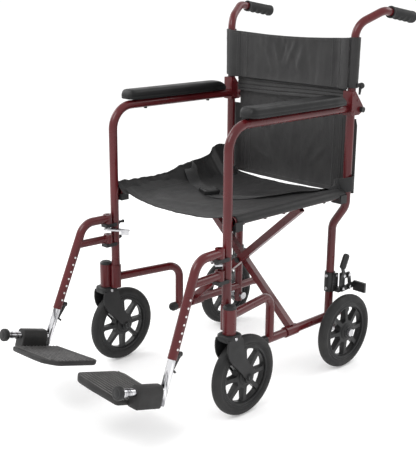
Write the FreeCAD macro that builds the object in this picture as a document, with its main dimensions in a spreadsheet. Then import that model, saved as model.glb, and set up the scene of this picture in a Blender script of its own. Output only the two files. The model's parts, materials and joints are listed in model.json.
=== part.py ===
import FreeCAD, Part
import math
import os
from FreeCAD import Placement, Rotation, Vector

# Transport chair, in millimetres.  +Z up, +X the seated person's left, -Y the front.
# The origin is on the floor, under the middle of the whole object's box.
# Distances that end in _back are measured rearward from the front uprights.

doc = FreeCAD.newDocument("transport_chair")
sheet = doc.addObject("Spreadsheet::Sheet", "Sizes")

SIZES = {
    # side frame tubes
    "tube_radius": 11.1, "tube_wall": 1.5,
    "upright_x": 207, "upright_y": -144.5, "foot_z": 222.5,
    "arm_z": 706, "arm_bend": 60, "arm_back": 423,
    "sleeve_radius": 13.8, "sleeve_height": 61.5,
    "barrel_x": 231.5, "barrel_ahead": 14, "barrel_radius": 16.5, "barrel_height": 62,
    "lower_x": 171, "rail_z": 130.5, "rail_front_back": 182, "rail_rear_back": 505,
    "loop_z": 250.5, "loop_back": 196.5, "loop_bend": 35,
    "post_back": 438, "post_foot_z": 84, "cane_x": 212, "cane_top_z": 716,
    "kink_low_z": 391, "kink_high_z": 450, "kink_bend": 45,
    "cap_radius": 12.2, "cap_length": 17, "dome_height": 9,
    # arm pad
    "pad_x": 212, "pad_front_back": 45, "pad_rear_back": 402, "pad_width": 48, "pad_height": 27,
    "pad_gap": 0.4, "pad_edge": 9,
    "screw_radius": 2.5, "screw_head_radius": 4.5, "screw_head": 3, "screw_reach": 14,
    "screw_front_back": 110, "screw_rear_back": 338,
    # seat rails and the saddles they rest in
    "seat_rail_z": 483, "seat_rail_front_back": 15, "seat_rail_rear_back": 423,
    "saddle_length": 24, "saddle_width": 32, "saddle_depth": 22, "saddle_gap": 0.6,
    "saddle_wall_drop": 5,
    # cross brace
    "brace_width": 19, "brace_depth": 16, "brace_wall": 1.5, "cross_z": 290.9,
    "brace_a_back": 279, "brace_b_back": 261, "brace_slope": 41.2,
    "pivot_radius": 14.2, "pivot_length": 44, "pivot_gap": 0.15,
    "bolt_radius": 4, "bolt_gap": 0.06, "bolt_head_radius": 7.5, "bolt_head": 5,
    # back hinge and upper cane
    "hinge_back": 462, "hinge_z": 702, "hinge_pin_radius": 4, "hinge_knob_radius": 7,
    "hinge_plate": 3, "hinge_low_z": 689, "hinge_high_z": 750, "hinge_rear_back": 471,
    "hinge_slack": 0.6, "lug_width": 12, "hinge_slant_back": 436, "hinge_slant_z": 708,
    "upper_cane_z": 719, "handle_bend_z": 912, "handle_bend_x": 215,
    "handle_end_x": 248, "handle_end_back": 507, "handle_end_z": 947.5,
    "grip_end_back": 631, "grip_end_z": 928.5, "handle_bend": 48, "handle_end_bend": 34,
    "handle_core": 10.4, "grip_radius": 15, "grip_length": 104, "grip_wall_gap": 0.05, "grip_tip": 5,
    "latch_pivot_back": 441, "latch_pivot_z": 765, "latch_knob_back": 455, "latch_knob_z": 763,
    "latch_knob_radius": 8, "latch_plate": 3, "latch_hook_z": 741, "latch_width": 10,
    # wheels
    "wheel_radius": 101.6, "tyre_half_width": 13.2, "tyre_inner_radius": 80, "tyre_shoulder": 9,
    "rim_inner_radius": 70, "rim_half_width": 11, "hub_radius": 17, "hub_half_width": 17.5,
    "spoke_width": 10, "spoke_depth": 14, "spoke_count": 8, "axle_gap": 0.06,
    "caster_trail": 49.7, "caster_axle_radius": 4, "rear_axle_radius": 6,
    "rear_wheel_x": 224.5, "rear_axle_back": 440.6,
    "fork_leg": 4.5, "fork_inside": 18.6, "fork_top_z": 221.9, "fork_crown": 15.5,
    "fork_front": 29, "fork_crown_rear": 20, "fork_boss_radius": 14, "stem_radius": 6, "stem_gap": 0.06,
    # wheel lock
    "clamp_radius": 14.6, "clamp_low_z": 204, "clamp_high_z": 258,
    "lock_plate_x": 197, "lock_plate": 4, "lock_plate_front_back": 446, "lock_plate_rear_back": 467,
    "lock_web_back": 440, "lock_web_height": 14,
    "lever_pin_back": 460, "lever_pin_z": 247, "shoe_pin_back": 457, "shoe_pin_z": 210.5,
    "link_top_back": 475.8, "link_top_z": 248.5, "link_low_back": 482, "link_low_z": 213,
    "link_width": 12, "link_plate": 3, "link_slack": 1.2,
    "lock_pin_radius": 3, "lock_pin_gap": 0.06, "lever_plate": 3.5, "lever_width": 13,
    "lever_grip_low_back": 449, "lever_grip_low_z": 270, "lever_grip_high_back": 465,
    "lever_grip_high_z": 304, "lever_grip_radius": 9, "lever_grip_thick": 14,
    "shoe_block_back": 504, "shoe_block": 7, "shoe_low_z": 197, "shoe_high_z": 224,
    "shoe_outer_x": 240,
    # swing-away footrest
    "hanger_top_z": 415.5, "hanger_low_z": 362, "hanger_hinge_ahead": 24,
    "hanger_bend_x": 211.3, "hanger_bend_ahead": 97.8, "hanger_bend": 42,
    "hanger_slope": 22.15, "hanger_splay": 2.2, "hanger_end_z": 204, "hanger_low_radius": 10,
    "socket_radius": 11.6, "socket_height": 24, "hinge_post_radius": 5, "hinge_post_gap": 0.08,
    "bracket_thick": 9, "bracket_reach": 37, "bracket_width": 22,
    "extension_radius": 9.4, "extension_wall": 1.5,
    "extension_top_z": 330, "extension_low_z": 106, "rod_z": 137, "rod_slope": 16,
    "rod_length": 127, "rod_cap_radius": 15.5, "rod_cap": 13,
    "release_z": 386, "release_thick": 4, "release_width": 17, "release_reach": 62, "release_turn": 32,
    "release_lip": 9, "release_lip_length": 20,
    "height_bolt_z": 213, "height_bolt_radius": 6, "height_hook_z": 172,
    "sleeve_start": 14.4, "sleeve_length": 73, "sleeve_half_width": 17, "sleeve_top": 16,
    "sleeve_bottom": 36, "rod_gap": 0.1,
    "plate_front": 117, "plate_middle_front": 125, "plate_inner_front": 100, "plate_rear": -29,
    "plate_outer": 13, "plate_middle": 105, "plate_corner": 151, "plate_inner": 183,
    "plate_top": 25, "plate_thick": 11, "plate_roll": 4,
    # soft goods
    "sling_half_width": 190, "sling_front_back": 26, "sling_rear_back": 418, "sling_edge_z": 486,
    "sling_flat_half_width": 110, "sling_middle_z": 465, "sling_thick": 4,
    "back_half_width": 199, "back_top_z": 880, "back_split_z": 756, "back_thick": 6,
    "lower_back_half_width": 196, "lower_back_low_z": 516, "lower_back_back": 450,
    "belt_width": 38, "belt_thick": 3, "belt_z": 491, "belt_back": 330, "belt_half_length": 150,
    "buckle_width": 58, "buckle_length": 62, "buckle_height": 16,
}

for row, (alias, number) in enumerate(SIZES.items(), start=1):
    sheet.set("A%d" % row, alias)
    sheet.set("B%d" % row, str(number))
    sheet.setAlias("B%d" % row, alias)
doc.recompute()


class Dim:
    """A length kept as a number and as the sheet expression that gives it."""

    def __init__(self, text, value):
        self.text = text
        self.value = float(value)

    def _join(self, other, sign, value):
        other = as_dim(other)
        return Dim("(%s %s %s)" % (self.text, sign, other.text), value(self.value, other.value))

    def __add__(self, other):
        return self._join(other, "+", lambda a, b: a + b)

    def __sub__(self, other):
        return self._join(other, "-", lambda a, b: a - b)

    def __mul__(self, other):
        return self._join(other, "*", lambda a, b: a * b)

    def __truediv__(self, other):
        return self._join(other, "/", lambda a, b: a / b)

    def __neg__(self):
        return Dim("(-%s)" % self.text, -self.value)

    def __radd__(self, other):
        return as_dim(other) + self

    def __rsub__(self, other):
        return as_dim(other) - self

    def __rmul__(self, other):
        return as_dim(other) * self


def as_dim(number):
    return number if isinstance(number, Dim) else Dim(repr(float(number)), number)


def size(alias):
    return Dim("Sizes." + alias, sheet.get(alias))


def back(alias):
    """The Y of a distance measured rearward from the front uprights."""
    return size("upright_y") + size(alias)


def ahead(alias):
    """The Y of a distance measured forward from the front uprights."""
    return size("upright_y") - size(alias)


def at(x, y, z):
    return Vector(as_dim(x).value, as_dim(y).value, as_dim(z).value)


def bind(thing, prop, dim):
    thing.setExpression(prop, as_dim(dim).text)


def place(thing, x, y, z, rotation=None):
    """Puts a thing at a point whose coordinates stay bound to the sheet."""
    thing.Placement = Placement(at(x, y, z), rotation or Rotation())
    for axis, dim in zip("xyz", (x, y, z)):
        bind(thing, "Placement.Base." + axis, dim)
    return thing


ALONG_X = Rotation(Vector(0, 1, 0), 90)
ALONG_Y = Rotation(Vector(1, 0, 0), -90)


# ---------------------------------------------------------------- plain solids


def cylinder(name, radius, length, x, y, z, rotation=None):
    thing = doc.addObject("Part::Cylinder", name)
    bind(thing, "Radius", radius)
    bind(thing, "Height", length)
    return place(thing, x, y, z, rotation)


def box(name, width, depth, height, x, y, z, rotation=None):
    """A box from its lowest corner."""
    thing = doc.addObject("Part::Box", name)
    bind(thing, "Length", width)
    bind(thing, "Width", depth)
    bind(thing, "Height", height)
    return place(thing, x, y, z, rotation)


def ball(name, radius, x, y, z):
    thing = doc.addObject("Part::Sphere", name)
    bind(thing, "Radius", radius)
    return place(thing, x, y, z)


def fuse(name, things):
    thing = doc.addObject("Part::MultiFuse", name)
    thing.Shapes = things
    return thing


def cut(name, base, tool):
    thing = doc.addObject("Part::Cut", name)
    thing.Base = base
    thing.Tool = tool
    return thing


def group(name, things):
    """Several separate solids that share one node."""
    thing = doc.addObject("Part::Compound", name)
    thing.Links = things
    return thing


def mirrored(name, thing):
    """The same piece on the other side of the chair."""
    copy = doc.addObject("Part::Mirroring", name)
    copy.Source = thing
    copy.Base = Vector(0, 0, 0)
    copy.Normal = Vector(1, 0, 0)
    return copy


# ---------------------------------------------------------------- bodies and sketches


def new_body(name):
    return doc.addObject("PartDesign::Body", name)


def sketch_on(body, role, lift=0):
    plane = next(item for item in body.Origin.OriginFeatures if item.Role == role)
    sketch = body.newObject("Sketcher::SketchObject", body.Name + "_sketch")
    sketch.AttachmentSupport = (plane, [""])
    sketch.MapMode = "FlatFace"
    bind(sketch, ".AttachmentOffset.Base.z", lift)
    return sketch


def fix_point(sketch, geometry, end, u, v):
    """Ties one point of a sketch to two lengths measured from the sketch's origin."""
    for kind, dim, axis in (("DistanceX", as_dim(u), -2), ("DistanceY", as_dim(v), -1)):
        if abs(dim.value) < 1e-9:
            sketch.addConstraint(sketch_constraint("PointOnObject", geometry, end, axis))
            continue
        pair = (-1, 1, geometry, end) if dim.value > 0 else (geometry, end, -1, 1)
        length = dim if dim.value > 0 else -dim
        number = sketch.addConstraint(sketch_constraint(kind, *pair, length.value))
        sketch.setExpression("Constraints[%d]" % number, length.text)


def sketch_constraint(*arguments):
    import Sketcher
    return Sketcher.Constraint(*arguments)


def draw_polygon(sketch, points):
    count = len(points)
    for index, (u, v) in enumerate(points):
        following = points[(index + 1) % count]
        start = Vector(as_dim(u).value, as_dim(v).value, 0)
        finish = Vector(as_dim(following[0]).value, as_dim(following[1]).value, 0)
        sketch.addGeometry(Part.LineSegment(start, finish))
    for index in range(count):
        sketch.addConstraint(sketch_constraint("Coincident", index, 2, (index + 1) % count, 1))
    for index, (u, v) in enumerate(points):
        fix_point(sketch, index, 1, u, v)


def pad(body, sketch, length, midplane=False):
    feature = body.newObject("PartDesign::Pad", body.Name + "_pad")
    feature.Profile = sketch
    feature.Midplane = midplane
    bind(feature, "Length", length)
    return feature


def revolve(body, sketch, axis):
    feature = body.newObject("PartDesign::Revolution", body.Name + "_turn")
    feature.Profile = sketch
    feature.ReferenceAxis = (sketch, [axis])
    feature.Angle = 360
    return feature


def turned(name, outline, x, y, z, rotation=None):
    """A solid of revolution about its own Z, from an outline of (radius, height) points."""
    body = new_body(name)
    sketch = sketch_on(body, "XZ_Plane")
    draw_polygon(sketch, outline)
    revolve(body, sketch, "V_Axis")
    return place(body, x, y, z, rotation)


def plate_across_x(name, outline, x, thickness):
    """A flat plate that faces sideways, from an outline of (y, z) points, its middle at x."""
    body = new_body(name)
    sketch = sketch_on(body, "YZ_Plane", x)
    draw_polygon(sketch, outline)
    pad(body, sketch, thickness, midplane=True)
    return body


# ---------------------------------------------------------------- bent tubes


def bent_path(name, points, bends):
    """Straight runs joined by tangent arcs, one bend radius for each inner point."""
    edges = []
    start = points[0]
    for corner, following, radius in zip(points[1:-1], points[2:], bends):
        into = (corner - start).normalize()
        out = (following - corner).normalize()
        turn = into.getAngle(out)
        reach = radius * math.tan(turn / 2)
        arc_start = corner - into * reach
        arc_end = corner + out * reach
        inward = (out - into).normalize()
        middle = corner + inward * (radius / math.cos(turn / 2) - radius)
        edges.append(Part.LineSegment(start, arc_start).toShape())
        edges.append(Part.Arc(arc_start, middle, arc_end).toShape())
        start = arc_end
    edges.append(Part.LineSegment(start, points[-1]).toShape())
    path = doc.addObject("Part::Feature", name)
    path.Shape = Part.Wire(edges)
    return path


def sweep(name, path, radius, start, direction):
    section = doc.addObject("Part::Circle", name + "_section")
    bind(section, "Radius", radius)
    section.Placement = Placement(start, Rotation(Vector(0, 0, 1), direction))
    thing = doc.addObject("Part::Sweep", name)
    thing.Sections = [section]
    thing.Spine = (path, ["Edge%d" % (i + 1) for i in range(len(path.Shape.Edges))])
    thing.Solid = True
    thing.Frenet = False
    return thing


def tube(name, points, bends, radius, wall=None):
    """A round tube, or a solid bar where no wall is given, along a bent path."""
    path = bent_path(name + "_path", points, bends)
    start = points[0]
    direction = points[1] - points[0]
    outer = sweep(name + "_outside", path, radius, start, direction)
    if wall is None:
        return outer
    inner = sweep(name + "_inside", path, as_dim(radius) - wall, start, direction)
    return cut(name, outer, inner)


def straight_tube(name, radius, wall, length, x, y, z, rotation):
    outer = cylinder(name + "_outside", radius, length, x, y, z, rotation)
    inner = cylinder(name + "_inside", as_dim(radius) - wall, length, x, y, z, rotation)
    return cut(name, outer, inner)


tube_radius = size("tube_radius")
tube_wall = size("tube_wall")
upright_x = size("upright_x")
upright_y = size("upright_y")
lower_x = size("lower_x")
cane_x = size("cane_x")
post_y = back("post_back")
barrel_y = ahead("barrel_ahead")
pieces = {}


def keep(name, thing):
    thing.Label = name
    pieces[name] = thing
    return thing


def keep_both(name, thing):
    """Keeps a left piece and its mirror image on the right."""
    keep(name + "_left", thing)
    keep(name + "_right", mirrored(name + "_right", thing))


# ---------------------------------------------------------------- side frame


def build_arm_frame():
    """Front upright, its bend and the arm tube, with the caster barrel welded to its foot."""
    foot = size("foot_z")
    arm = tube("upright_tube",
               [at(upright_x, upright_y, foot), at(upright_x, upright_y, size("arm_z")),
                at(upright_x, back("arm_back"), size("arm_z"))],
               [size("arm_bend").value], tube_radius, tube_wall)
    sleeve = straight_tube("upright_sleeve", size("sleeve_radius"),
                           size("sleeve_radius") - tube_radius + 0.5, size("sleeve_height"),
                           upright_x, upright_y, foot, Rotation())
    barrel = cylinder("caster_barrel", size("barrel_radius"), size("barrel_height"),
                      size("barrel_x"), barrel_y, foot)
    frame = fuse("arm_frame_metal", [arm, sleeve, barrel])
    stem_bore = cylinder("stem_bore", size("stem_radius") + size("stem_gap"), size("barrel_height"),
                         size("barrel_x"), barrel_y, foot)
    screw_holes = [cylinder("pad_screw_hole_" + end, size("screw_radius") + 0.1, 40,
                            upright_x, back("screw_%s_back" % end), size("arm_z") - 20)
                   for end in ("front", "rear")]
    keep_both("arm_frame", cut("arm_frame_left", frame, fuse("arm_holes", [stem_bore] + screw_holes)))


def build_lower_frame():
    """The loop tube that drops from the upright to the lower rail, and the rail itself."""
    loop = tube("loop_tube",
                [at(upright_x, upright_y, size("loop_z")),
                 at(lower_x, back("loop_back"), size("loop_z")),
                 at(lower_x, back("loop_back"), size("rail_z"))],
                [size("loop_bend").value], tube_radius, tube_wall)
    rail_length = size("rail_rear_back") - size("rail_front_back")
    rail = straight_tube("rail_tube", tube_radius, tube_wall, rail_length,
                         lower_x, back("rail_front_back"), size("rail_z"), ALONG_Y)
    rail_core = cylinder("rail_core", tube_radius - tube_wall, rail_length,
                         lower_x, back("rail_front_back"), size("rail_z"), ALONG_Y)
    post_space = cylinder("post_space", tube_radius + 0.05, 90,
                          lower_x, post_y, size("post_foot_z"))
    sleeve_space = cylinder("sleeve_space", size("sleeve_radius") + 0.05, 80,
                            upright_x, upright_y, size("foot_z"))
    metal = fuse("lower_frame_metal", [loop, rail])
    spaces = fuse("lower_frame_spaces", [rail_core, post_space, sleeve_space])
    keep_both("lower_frame", cut("lower_frame_left", metal, spaces))


def build_rear_post():
    """The post from the rear axle up, kinked outward into the back cane."""
    post = tube("post_tube",
                [at(lower_x, post_y, size("post_foot_z")), at(lower_x, post_y, size("kink_low_z")),
                 at(cane_x, post_y, size("kink_high_z")), at(cane_x, post_y, size("cane_top_z"))],
                [size("kink_bend").value] * 2, tube_radius, tube_wall)
    axle_hole = cylinder("axle_hole", size("rear_axle_radius") + 0.05, 60,
                         lower_x - 30, back("rear_axle_back"), size("wheel_radius"), ALONG_X)
    keep_both("rear_post", cut("rear_post_left", post, axle_hole))


def build_end_caps():
    """Moulded plugs: the barrel's dome, and both ends of the lower rail."""
    radius = size("barrel_radius") - 0.5
    dome = turned("barrel_dome",
                  [(0, 0), (radius, 0), (radius, size("dome_height") * 0.45),
                   (radius * 0.7, size("dome_height") * 0.85), (0, size("dome_height"))],
                  size("barrel_x"), barrel_y, size("foot_z") + size("barrel_height"))
    cap_radius = size("cap_radius")
    cap_length = size("cap_length")
    outline = [(0, 0), (cap_radius, 0), (cap_radius, cap_length * 0.7),
               (cap_radius * 0.75, cap_length), (0, cap_length)]
    front = turned("rail_front_cap", outline, lower_x, back("rail_front_back"), size("rail_z"),
                   Rotation(Vector(1, 0, 0), 90))
    rear = turned("rail_rear_tip", outline, lower_x, back("rail_rear_back"), size("rail_z"), ALONG_Y)
    return [dome, front, rear]


def build_arm_pad():
    """A moulded arm pad on top of the arm tube, with two blind screw holes."""
    width = size("pad_width")
    half = width / 2
    edge = size("pad_edge")
    height = size("pad_height")
    body = new_body("pad_body")
    sketch = sketch_on(body, "XZ_Plane")
    draw_polygon(sketch, [(-half, 0), (half, 0), (half, height - edge), (half - edge, height),
                          (-half + edge, height), (-half, height - edge)])
    pad(body, sketch, size("pad_rear_back") - size("pad_front_back"))
    base = size("arm_z") + tube_radius + size("pad_gap")
    place(body, size("pad_x"), back("pad_rear_back"), base)
    holes = [cylinder("pad_blind_hole_" + end, size("screw_radius") + 0.1, size("screw_reach"),
                      upright_x, back("screw_%s_back" % end), base)
             for end in ("front", "rear")]
    keep_both("arm_pad", cut("arm_pad_left", body, fuse("pad_holes", holes)))


def build_frame_screws():
    """Pan-head screws that hold the arm pad from below."""
    screws = []
    under = size("arm_z") - tube_radius
    for end in ("front", "rear"):
        y = back("screw_%s_back" % end)
        head = cylinder("pad_screw_head_" + end, size("screw_head_radius"), size("screw_head"),
                        upright_x, y, under - size("screw_head") - 0.05)
        shank = cylinder("pad_screw_shank_" + end, size("screw_radius"),
                         tube_radius * 2 + size("screw_reach"), upright_x, y,
                         under - size("screw_head") + 0.5)
        screws.append(fuse("pad_screw_" + end, [head, shank]))
    return screws


def build_saddles():
    """Open half-cups that a seat rail drops into, one on the upright and one on the cane."""
    cups = []
    top = size("seat_rail_z")
    length = size("saddle_length")
    for end, x, y in (("front", upright_x, upright_y + tube_radius + 0.3),
                      ("rear", upright_x, post_y - tube_radius - 0.3 - length)):
        block = box("saddle_block_" + end, size("saddle_width"), length, size("saddle_depth"),
                    x - size("saddle_width") / 2, y, top - size("saddle_depth"))
        cup = cylinder("saddle_cup_" + end, tube_radius + size("saddle_gap"), length, x, y, top, ALONG_Y)
        notch = box("saddle_notch_" + end, size("saddle_width") / 2, length, 20,
                    x - size("saddle_width") / 2, y, top - size("saddle_wall_drop"))
        cups.append(cut("saddle_" + end, block, fuse("saddle_space_" + end, [cup, notch])))
    return cups


def build_hinge_bracket():
    """A folded plate, open to the rear, that joins the arm tube to the cane and holds the back hinge."""
    inside = tube_radius + size("hinge_slack")
    low = size("hinge_low_z")
    high = size("hinge_high_z")
    front_y = back("arm_back") + 0.1
    depth = back("hinge_rear_back") - front_y
    shell = box("bracket_shell", (inside + size("hinge_plate")) * 2, depth, high - low,
                cane_x - inside - size("hinge_plate"), front_y, low)
    slot = box("bracket_slot", inside * 2, depth, high - low + 10,
               cane_x - inside, front_y + size("hinge_plate"), low - 5)
    pin_hole = cylinder("bracket_pin_hole", size("hinge_pin_radius") + 0.05, 60,
                        cane_x - 30, back("hinge_back"), size("hinge_z"), ALONG_X)
    # the front edge is open above the lower cane, so that the upper cane can lean away
    cane_space = cylinder("bracket_cane_space", tube_radius + 0.05, 120, cane_x, post_y, low - 20)
    rear_y = back("hinge_rear_back") + 1
    slant = plate_across_x("bracket_slant",
                           [(back("hinge_slant_back"), high + 1), (rear_y, high + 1),
                            (rear_y, size("hinge_slant_z"))], cane_x, 60)
    low_corner = plate_across_x("bracket_low_corner",
                                [(rear_y - 20, low - 1), (rear_y, low - 1), (rear_y, low + 9)],
                                cane_x, 60)
    spaces = fuse("bracket_spaces", [slot, pin_hole, cane_space, slant, low_corner])
    keep_both("hinge_bracket", cut("hinge_bracket_left", shell, spaces))


def build_hinge_bolt():
    """The pin the upper back folds about, with a knob at each end."""
    reach = tube_radius + size("hinge_slack") + size("hinge_plate") + 0.1
    y = back("hinge_back")
    pin = cylinder("hinge_pin", size("hinge_pin_radius"), reach * 2 + 2, cane_x - reach - 1, y,
                   size("hinge_z"), ALONG_X)
    ends = [cylinder("hinge_knob_outer", size("hinge_knob_radius"), 8, cane_x + reach, y,
                     size("hinge_z"), ALONG_X),
            cylinder("hinge_knob_inner", size("hinge_knob_radius") - 1, 5, cane_x - reach - 5, y,
                     size("hinge_z"), ALONG_X)]
    return fuse("hinge_bolt", [pin] + ends)


# ---------------------------------------------------------------- cross brace


def build_brace(letter, side, back_alias):
    """A brace: pivot sleeve on one lower rail, rectangular tube, and the opposite seat rail."""
    name = "brace_" + letter
    y = back(back_alias)
    slope = size("brace_slope")
    width = size("brace_width")
    depth = size("brace_depth")
    wall = size("brace_wall")
    length = (lower_x + upright_x) / math.cos(math.radians(slope.value))
    body = new_body(name + "_bar")
    sketch = sketch_on(body, "XY_Plane")
    for shrink in (0, wall):
        half_width = width / 2 - shrink
        half_depth = depth / 2 - shrink
        start = 4 * (1 if shrink else 0)
        corners = [(-half_width, -half_depth), (half_width, -half_depth),
                   (half_width, half_depth), (-half_width, half_depth)]
        for index, (u, v) in enumerate(corners):
            following = corners[(index + 1) % 4]
            sketch.addGeometry(Part.LineSegment(at(u, v, 0), at(following[0], following[1], 0)))
            fix_point(sketch, start + index, 1, u, v)
        for index in range(4):
            sketch.addConstraint(sketch_constraint("Coincident", start + index, 2,
                                                   start + (index + 1) % 4, 1))
    pad(body, sketch, length)
    lean = Rotation(Vector(0, 1, 0), -side * (90 - slope.value))
    rise = lower_x * math.tan(math.radians(slope.value))
    place(body, lower_x * side, y, size("cross_z") - rise, lean)
    sleeve = cylinder(name + "_pivot", size("pivot_radius"), size("pivot_length"),
                      lower_x * side, y - size("pivot_length") / 2, size("rail_z"), ALONG_Y)
    rail_length = size("seat_rail_rear_back") - size("seat_rail_front_back")
    rail = cylinder(name + "_seat_rail", tube_radius, rail_length, upright_x * -side,
                    back("seat_rail_front_back"), size("seat_rail_z"), ALONG_Y)
    rail_bore = cylinder(name + "_seat_rail_bore", tube_radius - tube_wall, rail_length,
                         upright_x * -side, back("seat_rail_front_back"), size("seat_rail_z"), ALONG_Y)
    pivot_bore = cylinder(name + "_pivot_bore", tube_radius + size("pivot_gap"), 100,
                          lower_x * side, y - 50, size("rail_z"), ALONG_Y)
    gap = size("bolt_gap") if letter == "b" else as_dim(0.02)
    bolt_hole = cylinder(name + "_bolt_hole", size("bolt_radius") + gap, 60, 0, y - 30,
                         size("cross_z"), ALONG_Y)
    metal = fuse(name + "_metal", [body, sleeve, rail])
    keep(name, cut(name, metal, fuse(name + "_bores", [rail_bore, pivot_bore, bolt_hole])))


def build_brace_bolt():
    """The bolt that the two braces turn about."""
    front = back("brace_b_back") - size("brace_depth") / 2 - 0.4
    rear = back("brace_a_back") + size("brace_depth") / 2 + 0.1
    shank = cylinder("brace_bolt_shank", size("bolt_radius"), rear - front + 4, 0, front - 2,
                     size("cross_z"), ALONG_Y)
    head = cylinder("brace_bolt_head", size("bolt_head_radius"), size("bolt_head"), 0,
                    front - size("bolt_head"), size("cross_z"), ALONG_Y)
    nut = cylinder("brace_bolt_nut", size("bolt_head_radius"), size("bolt_head"), 0, rear,
                   size("cross_z"), ALONG_Y)
    keep("brace_bolt", fuse("brace_bolt", [shank, head, nut]))


# ---------------------------------------------------------------- upper back


def build_upper_cane():
    """Upper cane with its push-handle bends, and the lug that turns on the back hinge."""
    cane = tube("cane_tube",
                [at(cane_x, post_y, size("upper_cane_z")),
                 at(size("handle_bend_x"), post_y, size("handle_bend_z")),
                 at(size("handle_end_x"), back("handle_end_back"), size("handle_end_z")),
                 at(size("handle_end_x"), back("grip_end_back"), size("grip_end_z"))],
                [size("handle_bend").value, size("handle_end_bend").value], size("handle_core"),
                tube_wall)
    behind = post_y + tube_radius + 0.6
    hinge_y = back("hinge_back")
    hinge_z = size("hinge_z")
    lug = plate_across_x("cane_lug",
                         [(behind, hinge_z), (behind + 3, hinge_z - 8), (hinge_y + 7, hinge_z - 8),
                          (hinge_y + 7, hinge_z + 6),
                          (behind + 4, hinge_z + 38), (post_y + 8, hinge_z + 38),
                          (post_y + 8, size("upper_cane_z") + 1), (behind, size("upper_cane_z") + 1)],
                         cane_x, size("lug_width"))
    pin_hole = cylinder("lug_pin_hole", size("hinge_pin_radius") + 0.06, 40, cane_x - 20,
                        hinge_y, hinge_z, ALONG_X)
    keep_both("upper_cane", cut("upper_cane_left", fuse("cane_metal", [cane, lug]), pin_hole))


def build_push_grip():
    """A ribbed rubber grip pushed over the end of the handle."""
    run = Vector(0, size("grip_end_back").value - size("handle_end_back").value,
                 size("grip_end_z").value - size("handle_end_z").value)
    drop = math.degrees(math.atan2(-run.z, run.y))
    bore = size("handle_core") + size("grip_wall_gap")
    length = size("grip_length")
    radius = size("grip_radius")
    tip = size("grip_tip")
    outline = [(0, 0), (radius - 3, 0), (radius, 3), (radius, length - 3), (radius - 2, length),
               (bore, length), (bore, tip), (0, tip)]
    # the outline starts at the closed tip and runs forward along the handle
    forward = Rotation(Vector(1, 0, 0), 90 - drop)
    run = run.normalize() * (tip.value + 0.1)
    grip = turned("grip_body", outline, size("handle_end_x"), back("grip_end_back") + run.y,
                  size("grip_end_z") + run.z, forward)
    keep_both("push_grip", grip)


def build_back_latch():
    """The spring latch lever on the upper cane, with its hook and its knob."""
    x = cane_x + tube_radius + size("hinge_slack") + size("hinge_plate") + 2.6
    half = size("latch_width") / 2
    pivot_y = back("latch_pivot_back")
    pivot_z = size("latch_pivot_z")
    knob_y = back("latch_knob_back")
    hook_z = size("latch_hook_z")
    arm = plate_across_x("latch_arm",
                         [(pivot_y - half, pivot_z - half), (pivot_y + half, pivot_z - half),
                          (pivot_y + half, hook_z), (knob_y - 4, hook_z), (knob_y, pivot_z - half - 3),
                          (knob_y, pivot_z + half), (pivot_y - half, pivot_z + half)],
                         x, size("latch_plate"))
    knob = ball("latch_knob", size("latch_knob_radius"), x, knob_y, size("latch_knob_z"))
    pin_start = cane_x + tube_radius + 1.2
    pin = cylinder("latch_pin", 2.5, x - pin_start, pin_start, pivot_y, pivot_z, ALONG_X)
    keep_both("back_latch", fuse("back_latch_left", [arm, knob, pin]))


# ---------------------------------------------------------------- wheels


def wheel_pair(prefix, x, y, axle_radius):
    """A spoked wheel turned about X, and the tyre on its rim."""
    height = size("wheel_radius")
    hub = size("hub_radius")
    hub_half = size("hub_half_width")
    rim_in = size("rim_inner_radius")
    rim_out = size("tyre_inner_radius")
    rim_half = size("rim_half_width")
    bore = size(axle_radius) + size("axle_gap")
    web = size("spoke_depth") / 2

    wheel = new_body(prefix + "_wheel_body")
    hub_sketch = sketch_on(wheel, "XZ_Plane")
    draw_polygon(hub_sketch, [(bore, -hub_half), (hub, -hub_half), (hub, hub_half), (bore, hub_half)])
    revolve(wheel, hub_sketch, "V_Axis")
    spoke = sketch_on(wheel, "XY_Plane")
    half = size("spoke_width") / 2
    draw_polygon(spoke, [(hub - 2, -half), (rim_in + 2, -half), (rim_in + 2, half), (hub - 2, half)])
    spoke_pad = pad(wheel, spoke, web * 2, midplane=True)
    ring = wheel.newObject("PartDesign::PolarPattern", prefix + "_spokes")
    ring.Originals = [spoke_pad]
    ring.Axis = (spoke, ["N_Axis"])
    ring.Angle = 360
    bind(ring, "Occurrences", size("spoke_count"))
    wheel.Tip = ring
    rim_sketch = sketch_on(wheel, "XZ_Plane")
    draw_polygon(rim_sketch, [(rim_in, -rim_half), (rim_out, -rim_half), (rim_out, rim_half),
                              (rim_in, rim_half)])
    rim = revolve(wheel, rim_sketch, "V_Axis")
    wheel.Tip = rim
    place(wheel, x, y, height, ALONG_X)

    tyre_half = size("tyre_half_width")
    shoulder = size("tyre_shoulder")
    outer = size("wheel_radius")
    tyre = turned(prefix + "_tyre_body",
                  [(rim_out, -rim_half), (rim_out + 4, -tyre_half), (outer - shoulder, -tyre_half),
                   (outer - shoulder * 0.35, -tyre_half * 0.78), (outer, -tyre_half * 0.3),
                   (outer, tyre_half * 0.3), (outer - shoulder * 0.35, tyre_half * 0.78),
                   (outer - shoulder, tyre_half), (rim_out + 4, tyre_half), (rim_out, rim_half)],
                  x, y, height, ALONG_X)
    keep_both(prefix + "_wheel", wheel)
    keep_both(prefix + "_tyre", tyre)


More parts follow.
